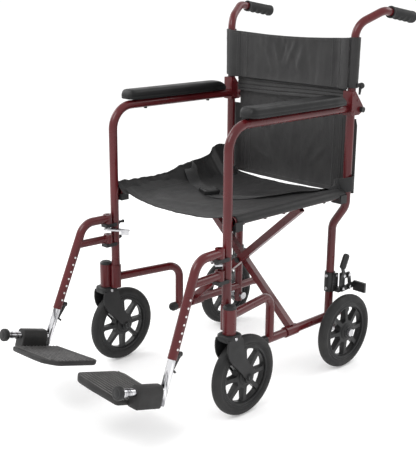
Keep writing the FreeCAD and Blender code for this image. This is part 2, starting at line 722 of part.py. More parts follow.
def build_rear_axle():
    """Rear axle bolt through the post, with its spacer and nut."""
    y = back("rear_axle_back")
    z = size("wheel_radius")
    radius = size("rear_axle_radius")
    hub_half = size("hub_half_width")
    wheel_x = size("rear_wheel_x")
    inner = lower_x - tube_radius
    outer = wheel_x + hub_half
    shank = cylinder("rear_axle_shank", radius, outer - inner + 8, inner - 4, y, z, ALONG_X)
    head = cylinder("rear_axle_head", 10, 8, outer + 0.4, y, z, ALONG_X)
    nut = cylinder("rear_axle_nut", 10.5, 8, inner - 8.5, y, z, ALONG_X)
    post_side = lower_x + tube_radius + 0.6
    spacer = cylinder("rear_axle_spacer", 10, wheel_x - hub_half - post_side - 0.4, post_side, y, z,
                      ALONG_X)
    keep_both("rear_axle", fuse("rear_axle_left", [shank, head, nut, spacer]))


def build_caster_fork():
    """Fork with its stem, crown and two legs, trailing behind the stem."""
    x = size("barrel_x")
    top = size("fork_top_z")
    crown_low = top - size("fork_crown")
    inside = size("fork_inside")
    leg = size("fork_leg")
    front = barrel_y - size("fork_front")
    rear = barrel_y + size("fork_crown_rear")
    axle_y = barrel_y + size("caster_trail")
    axle_z = size("wheel_radius")
    boss = size("fork_boss_radius")
    crown = box("fork_crown", (inside + leg) * 2, rear - front, size("fork_crown"),
                x - inside - leg, front, crown_low)
    stem = cylinder("fork_stem", size("stem_radius"), top - crown_low + size("barrel_height") - 3,
                    x, barrel_y, crown_low)
    outline = [(front, top), (front, top - 42), (front + 18, top - 66), (axle_y - boss, axle_z),
               (axle_y - boss * 0.7, axle_z - boss * 0.7), (axle_y, axle_z - boss),
               (axle_y + boss * 0.7, axle_z - boss * 0.7), (axle_y + boss, axle_z),
               (axle_y + boss * 0.7, axle_z + boss * 0.9), (rear + 8, crown_low - 24), (rear, top)]
    legs = [plate_across_x("fork_leg_" + side, outline, x + sign * (inside + leg / 2), leg)
            for side, sign in (("outer", 1), ("inner", -1))]
    axle_hole = cylinder("fork_axle_hole", size("caster_axle_radius") + 0.05, 80, x - 40, axle_y,
                         axle_z, ALONG_X)
    keep_both("caster_fork", cut("caster_fork_left", fuse("fork_metal", [crown, stem] + legs), axle_hole))
    half = inside + leg + 0.1
    bolt = cylinder("caster_axle_shank", size("caster_axle_radius"), half * 2 + 6, x - half - 3,
                    axle_y, axle_z, ALONG_X)
    head = cylinder("caster_axle_head", 7, 5, x + half, axle_y, axle_z, ALONG_X)
    nut = cylinder("caster_axle_nut", 7, 5, x - half - 5, axle_y, axle_z, ALONG_X)
    keep_both("caster_axle", fuse("caster_axle_left", [bolt, head, nut]))


# ---------------------------------------------------------------- wheel lock


def lock_pin(name, reach, y, z):
    """A pin across the lock that starts at the bracket's plate and reaches a distance outward."""
    start = size("lock_plate_x")
    return cylinder(name, size("lock_pin_radius"), reach, start, y, z, ALONG_X)


def build_lock_bracket(lever_y, lever_z, shoe_y, shoe_z):
    """Clamp on the rear post, with a low web out to the plate that holds both fixed pins."""
    low = size("clamp_low_z")
    high = size("clamp_high_z")
    plate_x = size("lock_plate_x")
    plate = size("lock_plate")
    front = back("lock_plate_front_back")
    clamp = straight_tube("lock_clamp", size("clamp_radius"), size("clamp_radius") - tube_radius - 0.05,
                          high - low, lower_x, post_y, low, Rotation())
    web = box("lock_web", plate_x + plate - lower_x - tube_radius - 0.8, 10, size("lock_web_height"),
              lower_x + tube_radius + 0.8, back("lock_web_back"), low)
    side = box("lock_side", plate, back("lock_plate_rear_back") - front, high - low, plate_x, front, low)
    reach = plate + 0.3 + size("lever_plate")
    pins = [lock_pin("lock_lever_pin", reach, lever_y, lever_z),
            lock_pin("lock_shoe_pin", reach, shoe_y, shoe_z)]
    keep_both("lock_bracket", fuse("lock_bracket_left", [clamp, web, side] + pins))


def build_lock_lever(lever_y, lever_z, layer_x, link_reach):
    """Hand lever: a flat arm with an upright grip, and the pin that pushes the link."""
    half = size("lever_width") / 2
    low_y = back("lever_grip_low_back")
    low_z = size("lever_grip_low_z")
    high_y = back("lever_grip_high_back")
    high_z = size("lever_grip_high_z")
    link_y = back("link_top_back")
    middle = layer_x + size("lever_plate") / 2
    arm = plate_across_x("lock_lever_arm",
                         [(lever_y - 16, lever_z - 3), (lever_y - half, lever_z - half),
                          (link_y + half, lever_z - half), (link_y + half, lever_z + 8),
                          (lever_y + 3, lever_z + 9), (low_y + 5, low_z + 6), (low_y - 5, low_z + 6),
                          (lever_y - 9, lever_z + 8), (lever_y - 16, lever_z + 4)],
                         middle, size("lever_plate"))
    radius = size("lever_grip_radius")
    lean = math.atan2(high_y.value - low_y.value, high_z.value - low_z.value)
    along_y = math.sin(lean)
    along_z = math.cos(lean)
    grip = plate_across_x("lock_lever_grip",
                          [(low_y + radius * (along_z * u + along_y * w),
                            low_z + radius * (-along_y * u + along_z * w))
                           for u, w in ((-0.6, 0.0), (0.6, 0.0), (1.0, 0.7), (1.0, 3.9), (0.6, 4.8),
                                        (-0.6, 4.8), (-1.0, 3.9), (-1.0, 0.7))],
                          middle, size("lever_grip_thick"))
    pin = cylinder("lock_link_pin", size("lock_pin_radius"), link_reach, layer_x, link_y,
                   size("link_top_z"), ALONG_X)
    hole = cylinder("lock_lever_hole", size("lock_pin_radius") + size("lock_pin_gap"), 20, layer_x - 8,
                    lever_y, lever_z, ALONG_X)
    keep_both("lock_lever", cut("lock_lever_left", fuse("lock_lever_metal", [arm, grip, pin]), hole))


def build_lock_link(link_x):
    """The short link from the lever down to the shoe arm; its low hole is loose on the arm's pin."""
    top = Vector(0, back("link_top_back").value, size("link_top_z").value)
    low = Vector(0, back("link_low_back").value, size("link_low_z").value)
    along = (top - low).normalize()
    half = size("link_width") / 2
    outline = []
    for place, alias_y, alias_z, end in ((low, "link_low_back", "link_low_z", -1),
                                         (top, "link_top_back", "link_top_z", 1)):
        for side, reach in ((-1, 0.3), (-0.5, 1), (0.5, 1), (1, 0.3)):
            across = side * end
            outline.append((back(alias_y) + half * (along.y * reach * end - along.z * across),
                            size(alias_z) + half * (along.z * reach * end + along.y * across)))
    bar = plate_across_x("lock_link_bar", outline, link_x + size("link_plate") / 2, size("link_plate"))
    pin = size("lock_pin_radius")
    holes = [cylinder("lock_link_top_hole", pin + size("lock_pin_gap"), 20, link_x - 8,
                      back("link_top_back"), size("link_top_z"), ALONG_X),
             cylinder("lock_link_low_hole", pin + size("link_slack"), 20, link_x - 8,
                      back("link_low_back"), size("link_low_z"), ALONG_X)]
    keep_both("lock_link", cut("lock_link_left", bar, fuse("lock_link_holes", holes)))


def build_lock_shoe(shoe_y, shoe_z, layer_x, link_reach):
    """Shoe arm, with the cross plate that presses on the tyre and the pin that the link pushes."""
    block_y = back("shoe_block_back")
    low_z = size("shoe_low_z")
    high_z = size("shoe_high_z")
    link_y = back("link_low_back")
    link_z = size("link_low_z")
    arm = plate_across_x("lock_shoe_arm",
                         [(shoe_y - 7, shoe_z - 6), (link_y + 5, link_z - 7), (block_y + 1, low_z + 10),
                          (block_y + 1, high_z - 2), (link_y + 4, link_z + 10), (shoe_y - 7, shoe_z + 6)],
                         layer_x + size("lever_plate") / 2, size("lever_plate"))
    block = box("lock_shoe_block", size("shoe_outer_x") - layer_x, size("shoe_block"), high_z - low_z,
                layer_x, block_y, low_z)
    pin = cylinder("lock_shoe_link_pin", size("lock_pin_radius"), link_reach, layer_x, link_y, link_z,
                   ALONG_X)
    hole = cylinder("lock_shoe_hole", size("lock_pin_radius") + size("lock_pin_gap"), 20, layer_x - 8,
                    shoe_y, shoe_z, ALONG_X)
    keep_both("lock_shoe", cut("lock_shoe_left", fuse("lock_shoe_metal", [arm, block, pin]), hole))


def build_wheel_lock():
    """The bracket, then the lever and the shoe arm in one layer, and the link in the next."""
    lever_y = back("lever_pin_back")
    lever_z = size("lever_pin_z")
    shoe_y = back("shoe_pin_back")
    shoe_z = size("shoe_pin_z")
    layer_x = size("lock_plate_x") + size("lock_plate") + 0.3
    link_x = layer_x + size("lever_plate") + 0.3
    link_reach = size("lever_plate") + 0.3 + size("link_plate") + 0.8
    build_lock_bracket(lever_y, lever_z, shoe_y, shoe_z)
    build_lock_lever(lever_y, lever_z, layer_x, link_reach)
    build_lock_link(link_x)
    build_lock_shoe(shoe_y, shoe_z, layer_x, link_reach)


# ---------------------------------------------------------------- footrests


def hanger_point(height):
    """The point of the slanted leg's centre line at a height."""
    fall = size("hanger_top_z").value - height
    x = size("hanger_bend_x").value + fall * math.tan(math.radians(size("hanger_splay").value))
    y = (ahead("hanger_bend_ahead").value
         - fall * math.tan(math.radians(size("hanger_slope").value)))
    return Vector(x, y, height)


def rod_place(lift, forward):
    """A point a distance along the plate's pivot rod and a distance square to it, upward."""
    start = hanger_point(size("rod_z").value)
    slope = math.radians(size("rod_slope").value)
    return Vector(start.x, start.y - forward * math.cos(slope) + lift * math.sin(slope),
                  start.z + forward * math.sin(slope) + lift * math.cos(slope))


def build_hanger():
    """Bent hanger tube with its lower leg and the two sockets that drop over the hinge posts."""
    hinge_y = ahead("hanger_hinge_ahead")
    top_z = size("hanger_top_z")
    low_z = size("hanger_low_z")
    main = tube("hanger_main",
                [at(upright_x, hinge_y, top_z), hanger_point(top_z.value),
                 hanger_point(size("hanger_end_z").value)],
                [size("hanger_bend").value], tube_radius, tube_wall)
    leg_end = hanger_point(low_z.value)
    leg = tube("hanger_leg", [at(upright_x, hinge_y, low_z), leg_end], [], size("hanger_low_radius"),
               tube_wall)
    sockets = [cylinder("hanger_socket_" + level, size("socket_radius"), size("socket_height"),
                        upright_x, hinge_y, z - size("socket_height") / 2)
               for level, z in (("top", top_z), ("low", low_z))]
    metal = fuse("hanger_metal", [main, leg] + sockets)
    post_bore = cylinder("hanger_post_bore", size("hinge_post_radius") + size("hinge_post_gap"), 90,
                         upright_x, hinge_y, low_z - 20)
    inside = bent_path("hanger_inside_path",
                       [hanger_point(size("hanger_end_z").value - 5), hanger_point(380)], [])
    run = hanger_point(380) - hanger_point(size("hanger_end_z").value - 5)
    bore = sweep("hanger_bore", inside, tube_radius - tube_wall,
                 hanger_point(size("hanger_end_z").value - 5), run)
    keep_both("hanger", cut("hanger_left", metal, fuse("hanger_bores", [post_bore, bore])))


def build_hinge_posts():
    """Two brackets on the front upright, each with an upright post for the hanger's sockets."""
    hinge_y = ahead("hanger_hinge_ahead")
    parts = []
    for level, z in (("top", size("hanger_top_z")), ("low", size("hanger_low_z"))):
        base = z - size("socket_height") / 2 - size("bracket_thick") - 0.4
        block = box("hinge_post_block_" + level, size("bracket_width"), size("bracket_reach") + 4,
                    size("bracket_thick"), upright_x - size("bracket_width") / 2,
                    upright_y - size("bracket_reach"), base)
        space = cylinder("hinge_post_space_" + level, tube_radius + 0.05, 60, upright_x, upright_y,
                         base - 20)
        post = cylinder("hinge_post_pin_" + level, size("hinge_post_radius"),
                        size("bracket_thick") + 20, upright_x, hinge_y, base)
        parts.append(fuse("hinge_post_" + level, [cut("hinge_post_lug_" + level, block, space), post]))
    return parts


def build_release():
    """The flat lever, turning on the hinge line, that frees the hanger."""
    hinge_y = ahead("hanger_hinge_ahead")
    half = size("release_width") / 2
    body = new_body("release_body")
    sketch = sketch_on(body, "XY_Plane")
    reach = size("release_reach")
    tail = half - 2.5
    draw_polygon(sketch, [(-tail, -half), (half, -half - 2), (reach, -half + 2), (reach, half - 2),
                          (half, half), (-tail, half)])
    pad(body, sketch, size("release_thick"))
    turn = Rotation(Vector(0, 0, 1), 180 - size("release_turn").value)
    place(body, upright_x, hinge_y - 4, size("release_z"), turn)
    # the paddle's end is bent down
    lip_body = new_body("release_lip_body")
    lip_sketch = sketch_on(lip_body, "XY_Plane", -size("release_lip"))
    lip_start = reach - size("release_lip_length")
    draw_polygon(lip_sketch, [(lip_start, half - 5), (reach, half - 5), (reach, half - 2),
                              (lip_start, half - 1)])
    pad(lip_body, lip_sketch, size("release_lip") + 1)
    place(lip_body, upright_x, hinge_y - 4, size("release_z"), turn)
    post_space = cylinder("release_hole", size("hinge_post_radius") + size("hinge_post_gap"), 30,
                          upright_x, hinge_y, size("release_z") - 10)
    upright_space = cylinder("release_upright_space", tube_radius + 1.6, 30, upright_x, upright_y,
                             size("release_z") - 10)
    metal = fuse("release_metal", [body, lip_body])
    keep_both("release_lever", cut("release_lever_left", metal,
                                   fuse("release_spaces", [post_space, upright_space])))


def build_extension():
    """Chrome extension tube with the rod that the footplate turns on, and the rod's end cap."""
    wall = size("extension_wall")
    radius = size("extension_radius")
    stem = tube("extension_stem", [hanger_point(size("extension_top_z").value),
                                   hanger_point(size("extension_low_z").value)], [], radius, wall)
    rod = tube("extension_rod", [rod_place(0, 6), rod_place(0, size("rod_length").value)], [], radius,
               wall)
    stem_core = bent_path("extension_core_path", [hanger_point(size("extension_top_z").value),
                                                  hanger_point(size("extension_low_z").value)], [])
    run = hanger_point(size("extension_low_z").value) - hanger_point(size("extension_top_z").value)
    core = sweep("extension_core", stem_core, radius - wall,
                 hanger_point(size("extension_top_z").value), run)
    metal = cut("extension_metal", fuse("extension_tubes", [stem, rod]), core)
    along = Rotation(Vector(0, 0, 1), rod_place(0, 1) - rod_place(0, 0))
    cap_base = rod_place(0, size("rod_length").value)
    cap_radius = size("rod_cap_radius")
    cap = turned("rod_cap", [(0, 0), (radius, 0), (cap_radius * 0.85, 2), (cap_radius, 5),
                             (cap_radius, size("rod_cap") - 5), (cap_radius * 0.7, size("rod_cap")),
                             (0, size("rod_cap"))],
                 cap_base.x, cap_base.y, cap_base.z, along)
    keep_both("extension", group("extension_left", [metal, cap]))


def build_height_clamp():
    """The bolt that fixes the extension in the hanger, and the small hook lever under it."""
    centre = hanger_point(size("height_bolt_z").value)
    low = hanger_point(size("height_hook_z").value)
    head = cylinder("height_bolt", size("height_bolt_radius"), 12, centre.x, centre.y + 12.6, centre.z,
                    Rotation(Vector(1, 0, 0), -112))
    hook = plate_across_x("height_hook",
                          [(centre.y + 15, centre.z - 4), (centre.y + 22, centre.z - 8),
                           (low.y + 17, low.z + 6), (low.y + 24, low.z - 2), (low.y + 20, low.z - 4),
                           (low.y + 12, low.z + 4)],
                          centre.x, 5)
    keep_both("height_clamp", fuse("height_clamp_left", [head, hook]))


def build_footplate():
    """Footplate: a sleeve block round the rod, and the tread plate that reaches inboard."""
    sleeve = new_body("footplate_sleeve")
    block_sketch = sketch_on(sleeve, "XY_Plane", size("sleeve_start"))
    half = size("sleeve_half_width")
    crest = size("sleeve_top")
    draw_polygon(block_sketch, [(-half, -size("sleeve_bottom")), (half, -size("sleeve_bottom")),
                                (half, crest * 0.45), (half * 0.6, crest), (-half * 0.6, crest),
                                (-half, crest * 0.45)])
    pad(sleeve, block_sketch, size("sleeve_length"))
    # the sleeve's local Z runs forward along the rod and its local Y is square to it, upward
    forward = (rod_place(0, 1) - rod_place(0, 0)).normalize()
    up = (rod_place(1, 0) - rod_place(0, 0)).normalize()
    origin = rod_place(0, 0)
    place(sleeve, origin.x, origin.y, origin.z, Rotation(up.cross(forward), up, forward, "ZYX"))

    # the tread's local X runs outboard and its local Y rearward; it rises a little inboard
    tread = new_body("footplate_tread")
    thick = size("plate_thick")
    tread_sketch = sketch_on(tread, "XY_Plane", -(size("plate_top") + thick))
    corners = [(size("plate_outer"), size("plate_rear")), (size("plate_inner") - 16, size("plate_rear")),
               (size("plate_inner"), size("plate_rear") + 14),
               (size("plate_inner"), size("plate_inner_front")),
               (size("plate_corner"), size("plate_middle_front") - 1),
               (size("plate_middle"), size("plate_middle_front")), (size("plate_outer"), size("plate_front"))]
    draw_polygon(tread_sketch, [(-inboard, -ahead_of_rod) for inboard, ahead_of_rod in corners])
    pad(tread, tread_sketch, thick)
    tilt = Rotation(Vector(1, 0, 0), -size("rod_slope").value)
    roll = Rotation(Vector(0, 1, 0), size("plate_roll").value)
    place(tread, origin.x, origin.y, origin.z, tilt * roll)

    path = bent_path("footplate_bore_path", [rod_place(0, 2), rod_place(0, 110)], [])
    bore = sweep("footplate_bore", path, size("extension_radius") + size("rod_gap"), rod_place(0, 2),
                 forward)
    keep_both("footplate", cut("footplate_left", fuse("footplate_plastic", [sleeve, tread]), bore))


# ---------------------------------------------------------------- soft goods


def build_seat_sling():
    """The slung seat as a plain solid between the rails, lowest in its middle."""
    body = new_body("seat_sling")
    sketch = sketch_on(body, "XZ_Plane")
    wide = size("sling_half_width")
    flat = size("sling_flat_half_width")
    high = size("sling_edge_z")
    low = size("sling_middle_z")
    thick = size("sling_thick")
    draw_polygon(sketch, [(-wide, high), (-flat, low), (flat, low), (wide, high), (wide, high + thick),
                          (flat, low + thick), (-flat, low + thick), (-wide, high + thick)])
    pad(body, sketch, size("sling_rear_back") - size("sling_front_back"))
    keep("seat_sling", place(body, 0, back("sling_rear_back"), 0))


def build_back_panels():
    """The upper and the lower back panel as plain slabs."""
    half = size("back_half_width")
    thick = size("back_thick")
    upper = box("back_panel_upper", half * 2, thick, size("back_top_z") - size("back_split_z"),
                -half, post_y - thick / 2, size("back_split_z"))
    keep("back_panel_upper", upper)
    lower_half = size("lower_back_half_width")
    lower = box("back_panel_lower", lower_half * 2, thick,
                size("hinge_high_z") - size("lower_back_low_z"), -lower_half,
                back("lower_back_back"), size("lower_back_low_z"))
    keep("back_panel_lower", lower)


def build_belt():
    """The seat belt lying on the sling, and its buckle, as plain slabs."""
    width = size("belt_width")
    half = size("belt_half_length")
    buckle_half = size("buckle_width") / 2
    straps = [box("belt_strap_" + side, half - buckle_half - 0.5, width, size("belt_thick"),
                  start, back("belt_back"), size("belt_z"))
              for side, start in (("left", buckle_half + 0.5), ("right", -half))]
    keep("seat_belt", group("seat_belt", straps))
    buckle = box("belt_buckle", size("buckle_width"), size("buckle_length"), size("buckle_height"),
                 -buckle_half, back("belt_back") - 12, size("belt_z") - 6)
    keep("belt_buckle", buckle)


build_arm_frame()
build_lower_frame()
build_rear_post()
keep_both("frame_mouldings", group("frame_mouldings_left",
                                   build_end_caps() + build_saddles() + build_hinge_posts()))
build_arm_pad()
build_hinge_bracket()
keep_both("frame_bolts", group("frame_bolts_left", build_frame_screws() + [build_hinge_bolt()]))
build_brace("a", 1, "brace_a_back")
build_brace("b", -1, "brace_b_back")
build_brace_bolt()
build_upper_cane()
build_push_grip()
build_back_latch()
wheel_pair("caster", size("barrel_x"), barrel_y + size("caster_trail"), "caster_axle_radius")
wheel_pair("rear", size("rear_wheel_x"), back("rear_axle_back"), "rear_axle_radius")
build_rear_axle()
build_caster_fork()
build_wheel_lock()
build_hanger()
build_release()
build_extension()
build_height_clamp()
build_footplate()
build_seat_sling()
build_back_panels()
build_belt()

doc.recompute()

faults = [item.Name for item in doc.Objects if "Invalid" in item.State or "Error" in item.State]
if faults:
    raise RuntimeError("failed objects: " + ", ".join(faults))

os.makedirs("parts", exist_ok=True)
for name, thing in pieces.items():
    shape = thing.Shape
    if shape.isNull() or not shape.isValid() or not shape.Solids:
        raise RuntimeError("bad shape: " + name)
    shape.exportStep(os.path.join("parts", name + ".step"))
print(len(pieces), "pieces written")
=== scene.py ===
import json
import math

import bmesh
import bpy
from mathutils import Matrix, Vector, noise


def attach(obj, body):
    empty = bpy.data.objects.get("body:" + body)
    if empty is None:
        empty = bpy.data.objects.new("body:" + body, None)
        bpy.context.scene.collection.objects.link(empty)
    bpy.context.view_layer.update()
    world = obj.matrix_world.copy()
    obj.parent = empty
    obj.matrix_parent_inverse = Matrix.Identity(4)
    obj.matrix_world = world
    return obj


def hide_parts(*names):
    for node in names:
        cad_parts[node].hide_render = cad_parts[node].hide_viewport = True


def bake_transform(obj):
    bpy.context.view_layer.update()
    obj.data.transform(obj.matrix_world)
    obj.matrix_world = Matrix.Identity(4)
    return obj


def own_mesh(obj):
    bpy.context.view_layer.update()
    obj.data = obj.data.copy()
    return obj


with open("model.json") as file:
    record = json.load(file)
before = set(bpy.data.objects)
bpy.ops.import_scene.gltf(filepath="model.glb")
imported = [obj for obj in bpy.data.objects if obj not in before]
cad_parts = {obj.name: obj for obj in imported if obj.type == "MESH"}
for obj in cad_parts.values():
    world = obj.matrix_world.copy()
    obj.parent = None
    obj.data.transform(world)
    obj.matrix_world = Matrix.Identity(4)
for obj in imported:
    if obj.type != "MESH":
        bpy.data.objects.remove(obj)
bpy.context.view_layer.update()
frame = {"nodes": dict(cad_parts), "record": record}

# Lengths are millimetres: x to the seated person's left, "back" rearward from the front uprights,
# and z up from the floor.
MM = 0.001
UPRIGHT_Y = -144.5
TO_ROW = Matrix.Scale(MM, 4) @ Matrix.Translation((0, UPRIGHT_Y, 0))
SIDES = (("left", 1), ("right", -1))
TUBE = 11.1
UPRIGHT_X = 207
CANE_X = 212
CANE_BACK = 438
WHEEL_RADIUS = 101.6
SEAT_RAIL_Z = 483
UPPER_CANE = 10.4
X_AXIS = Vector((1, 0, 0))
Y_AXIS = Vector((0, 1, 0))
Z_AXIS = Vector((0, 0, 1))


def row(x, back, z):
    return TO_ROW @ Vector((x, back, z))


def smoothstep(value):
    value = min(1, max(0, value))
    return value * value * (3 - 2 * value)


def mix(a, b, share):
    return a + (b - a) * share


def polar(radius, angle):
    return Vector((radius * math.cos(angle), radius * math.sin(angle)))


def on_both_sides(*builders):
    for side, sign in SIDES:
        for build in builders:
            build(side, sign)


# ---- materials

looks = {}


class Look:
    """A procedural material, built up a feature at a time on one Principled shader."""

    def __init__(self, name, colour, roughness, metallic=0, specular=0.5, **sockets):
        self.material = bpy.data.materials.new(name)
        self.material.use_nodes = True
        looks[name] = self.material
        self.tree = self.material.node_tree
        self.shader = self.tree.nodes["Principled BSDF"]
        sockets.update(Base_Color=(*colour, 1), Roughness=roughness, Metallic=metallic,
                       Specular_IOR_Level=specular)
        for socket, value in sockets.items():
            self.shader.inputs[socket.replace("_", " ")].default_value = value
        self.colour = colour
        self.roughness = roughness
        self.place = self.node("ShaderNodeTexCoord").outputs["Object"]
        self.normal = None

    def node(self, kind, inputs=(), **settings):
        made = self.tree.nodes.new(kind)
        for key, value in settings.items():
            setattr(made, key, value)
        for socket, value in dict(inputs).items():
            made.inputs[socket].default_value = value
        return made

    def link(self, a, b):
        self.tree.links.new(a, b)

    def noise(self, scale, detail=3, roughness=0.55, stretch=None):
        texture = self.node("ShaderNodeTexNoise", {"Scale": scale, "Detail": detail, "Roughness": roughness})
        source = self.place
        if stretch:
            mapping = self.node("ShaderNodeMapping", {"Scale": stretch})
            self.link(self.place, mapping.inputs["Vector"])
            source = mapping.outputs["Vector"]
        self.link(source, texture.inputs["Vector"])
        return texture.outputs["Fac"]

    def vary_colour(self, scale, other, low=0.35, high=0.7, **noise_settings):
        """Drifts between the base colour and another, in patches of a size."""
        ramp = self.node("ShaderNodeValToRGB")
        for stop, place, colour in zip(ramp.color_ramp.elements, (low, high), (self.colour, other)):
            stop.position = place
            stop.color = (*colour, 1)
        self.link(self.noise(scale, **noise_settings), ramp.inputs["Fac"])
        self.link(ramp.outputs["Color"], self.shader.inputs["Base Color"])
        return self

    def vary_roughness(self, scale, spread, **noise_settings):
        span = self.node("ShaderNodeMapRange", {"From Min": 0.3, "From Max": 0.7,
                                                "To Min": self.roughness - spread,
                                                "To Max": self.roughness + spread})
        self.link(self.noise(scale, **noise_settings), span.inputs["Value"])
        self.link(span.outputs["Result"], self.shader.inputs["Roughness"])
        return self

    def raise_by(self, height, distance, strength=1):
        bump = self.node("ShaderNodeBump", {"Distance": distance, "Strength": strength})
        self.link(height, bump.inputs["Height"])
        if self.normal:
            self.link(self.normal, bump.inputs["Normal"])
        self.normal = bump.outputs["Normal"]
        self.link(self.normal, self.shader.inputs["Normal"])
        return self

    def grain(self, scale, distance, strength=1, **noise_settings):
        return self.raise_by(self.noise(scale, **noise_settings), distance, strength)

    def weave(self, pitch, distance, axes, strength):
        """Crossing threads: one sine along each of two axes, multiplied together."""
        split = self.node("ShaderNodeSeparateXYZ")
        self.link(self.place, split.inputs["Vector"])
        waves = []
        for axis in axes:
            scaled = self.node("ShaderNodeMath", {1: 2 * math.pi / (pitch * MM)}, operation="MULTIPLY")
            sine = self.node("ShaderNodeMath", operation="SINE")
            self.link(split.outputs[axis], scaled.inputs[0])
            self.link(scaled.outputs["Value"], sine.inputs[0])
            waves.append(sine.outputs["Value"])
        product = self.node("ShaderNodeMath", operation="MULTIPLY")
        for height, socket in zip(waves, product.inputs):
            self.link(height, socket)
        return self.raise_by(product.outputs["Value"], distance, strength)


def add_moulded_look(name, colour, worn, roughness, specular, patch, smear, spread, grain, depth, strength):
    """A dark hard surface: drifting colour, uneven gloss and a fine grain."""
    look = Look(name, colour, roughness, specular=specular)
    look.vary_colour(patch, worn).vary_roughness(smear, spread).grain(grain, depth, strength)


def add_cloth_look(name, colour, worn, roughness, specular, sheen, axes):
    """Woven nylon: drifting colour, a fine weave and a soft unevenness."""
    look = Look(name, colour, roughness, specular=specular, Sheen_Weight=sheen, Sheen_Roughness=0.5)
    look.vary_colour(16, worn, detail=5).vary_roughness(25, 0.07)
    look.weave(1.5, 0.00010, axes, 0.55).grain(210, 0.0005, 0.30)


def make_looks():
    red = Look("frame_paint", (0.086, 0.006, 0.008), 0.30, specular=0.30, Coat_Weight=0.22,
               Coat_Roughness=0.12)
    red.vary_colour(9, (0.064, 0.005, 0.007)).vary_roughness(35, 0.05)
    red.grain(1400, 0.00006, 0.35).grain(130, 0.00012, 0.25)

    add_moulded_look("black_plastic", (0.012, 0.012, 0.0125), (0.018, 0.018, 0.0185),
                     0.46, 0.28, 26, 60, 0.07, 1700, 0.00010, 0.6)
    add_moulded_look("footplate_plastic", (0.016, 0.0155, 0.0155), (0.024, 0.023, 0.023),
                     0.52, 0.28, 22, 45, 0.08, 1500, 0.00012, 0.7)
    # the tread ridges' light grey is painted highlight, for the light their tops catch
    add_moulded_look("ridge_painted_highlight", (0.105, 0.102, 0.101), (0.055, 0.053, 0.053),
                     0.42, 0.45, 70, 60, 0.08, 1200, 0.00010, 0.6)
    add_moulded_look("wheel_plastic", (0.012, 0.012, 0.0125), (0.019, 0.019, 0.0195),
                     0.42, 0.28, 24, 50, 0.07, 1600, 0.00009, 0.6)
    add_moulded_look("tyre_rubber", (0.016, 0.016, 0.0165), (0.026, 0.0255, 0.025),
                     0.62, 0.25, 18, 60, 0.08, 1200, 0.00015, 0.7)
    add_moulded_look("grip_rubber", (0.014, 0.014, 0.0145), (0.022, 0.022, 0.022),
                     0.58, 0.28, 30, 60, 0.08, 1300, 0.00014, 0.7)
    add_moulded_look("black_steel", (0.010, 0.010, 0.0105), (0.017, 0.017, 0.0175),
                     0.34, 0.35, 30, 55, 0.08, 1500, 0.00007, 0.5)

    skin = Look("pad_skin", (0.007, 0.007, 0.0073), 0.44, specular=0.22)
    skin.vary_colour(14, (0.011, 0.011, 0.0115)).vary_roughness(30, 0.06)
    skin.grain(700, 0.00028, 0.8, roughness=0.65).grain(240, 0.0003, 0.35)

    zinc = Look("bright_steel", (0.56, 0.56, 0.57), 0.30, 1)
    zinc.vary_colour(60, (0.44, 0.44, 0.46)).vary_roughness(120, 0.10)
    zinc.grain(900, 0.00006, 0.5, stretch=(1, 1, 8))

    # the chrome's colour is painted reflection: a dark base with long bright streaks that stand in for the
    # surroundings it would mirror
    chrome = Look("chrome", (0.16, 0.16, 0.17), 0.12, 1)
    chrome.vary_colour(75, (0.78, 0.78, 0.80), 0.38, 0.54, stretch=(1, 1, 0.06)).vary_roughness(40, 0.04)
    chrome.grain(500, 0.00002, 0.4)

    add_cloth_look("nylon", (0.015, 0.0145, 0.015), (0.023, 0.0225, 0.0225), 0.50, 0.30, 0.08, ("X", "Z"))
    add_cloth_look("seat_nylon", (0.0075, 0.0075, 0.008), (0.013, 0.0125, 0.0125), 0.52, 0.28, 0.06,
                   ("X", "Y"))

    webbing = Look("webbing", (0.013, 0.013, 0.0135), 0.62, specular=0.28, Sheen_Weight=0.1)
    webbing.vary_colour(40, (0.020, 0.020, 0.0205)).vary_roughness(50, 0.06)
    webbing.weave(2.2, 0.0003, ("X", "Y"), 0.8)

    thread = Look("thread", (0.045, 0.045, 0.046), 0.6)
    thread.vary_colour(200, (0.07, 0.07, 0.07)).grain(2500, 0.0001)

    hole = Look("hole_rim", (0.80, 0.79, 0.78), 0.4, 0.2)
    hole.vary_colour(200, (0.6, 0.59, 0.58)).vary_roughness(150, 0.1)


make_looks()


def shade_smooth(mesh, crease):
    mesh.polygons.foreach_set("use_smooth", [True] * len(mesh.polygons))
    mesh.set_sharp_from_angle(angle=math.radians(crease))


def place_in_scene(name, data):
    thing = bpy.data.objects.new(name, data)
    bpy.context.scene.collection.objects.link(thing)
    return thing


def paint_cad_nodes():
    slot_of = {part["node"]: part["material_slot"] for part in frame["record"]["subparts"]}
    for name, thing in frame["nodes"].items():
        # every slot but the tyres' has a look of its own name
        look = looks.get(slot_of[name], looks["tyre_rubber"])
        for slot in thing.material_slots:
            slot.material = look
        shade_smooth(thing.data, 32)


paint_cad_nodes()

# ---- camera, floor and light

PICTURE_HEIGHT = 450
FOCAL = 906.4
SHIFT_RIGHT, SHIFT_UP = -0.6, 9.8


def make_camera():
    yaw, pitch, roll = 0.7945, -0.2815, 0.0085
    ahead = Vector((-math.sin(yaw) * math.cos(pitch), math.cos(yaw) * math.cos(pitch), math.sin(pitch)))
    right = Vector((math.cos(yaw), math.sin(yaw), 0))
    turn = Matrix((right, right.cross(ahead), -ahead)).transposed().to_4x4()
    data = bpy.data.cameras.new("camera")
    data.sensor_width = 36
    data.lens = FOCAL * 36 / PICTURE_HEIGHT
    data.shift_x = SHIFT_RIGHT / PICTURE_HEIGHT
    data.shift_y = SHIFT_UP / PICTURE_HEIGHT
    data.clip_end = 200
    camera = place_in_scene("camera", data)
    place = Matrix.Translation(row(1607.5, -1435.9, 1034.5))
    camera.matrix_world = place @ turn @ Matrix.Rotation(roll, 4, "Z")
    bpy.context.scene.camera = camera


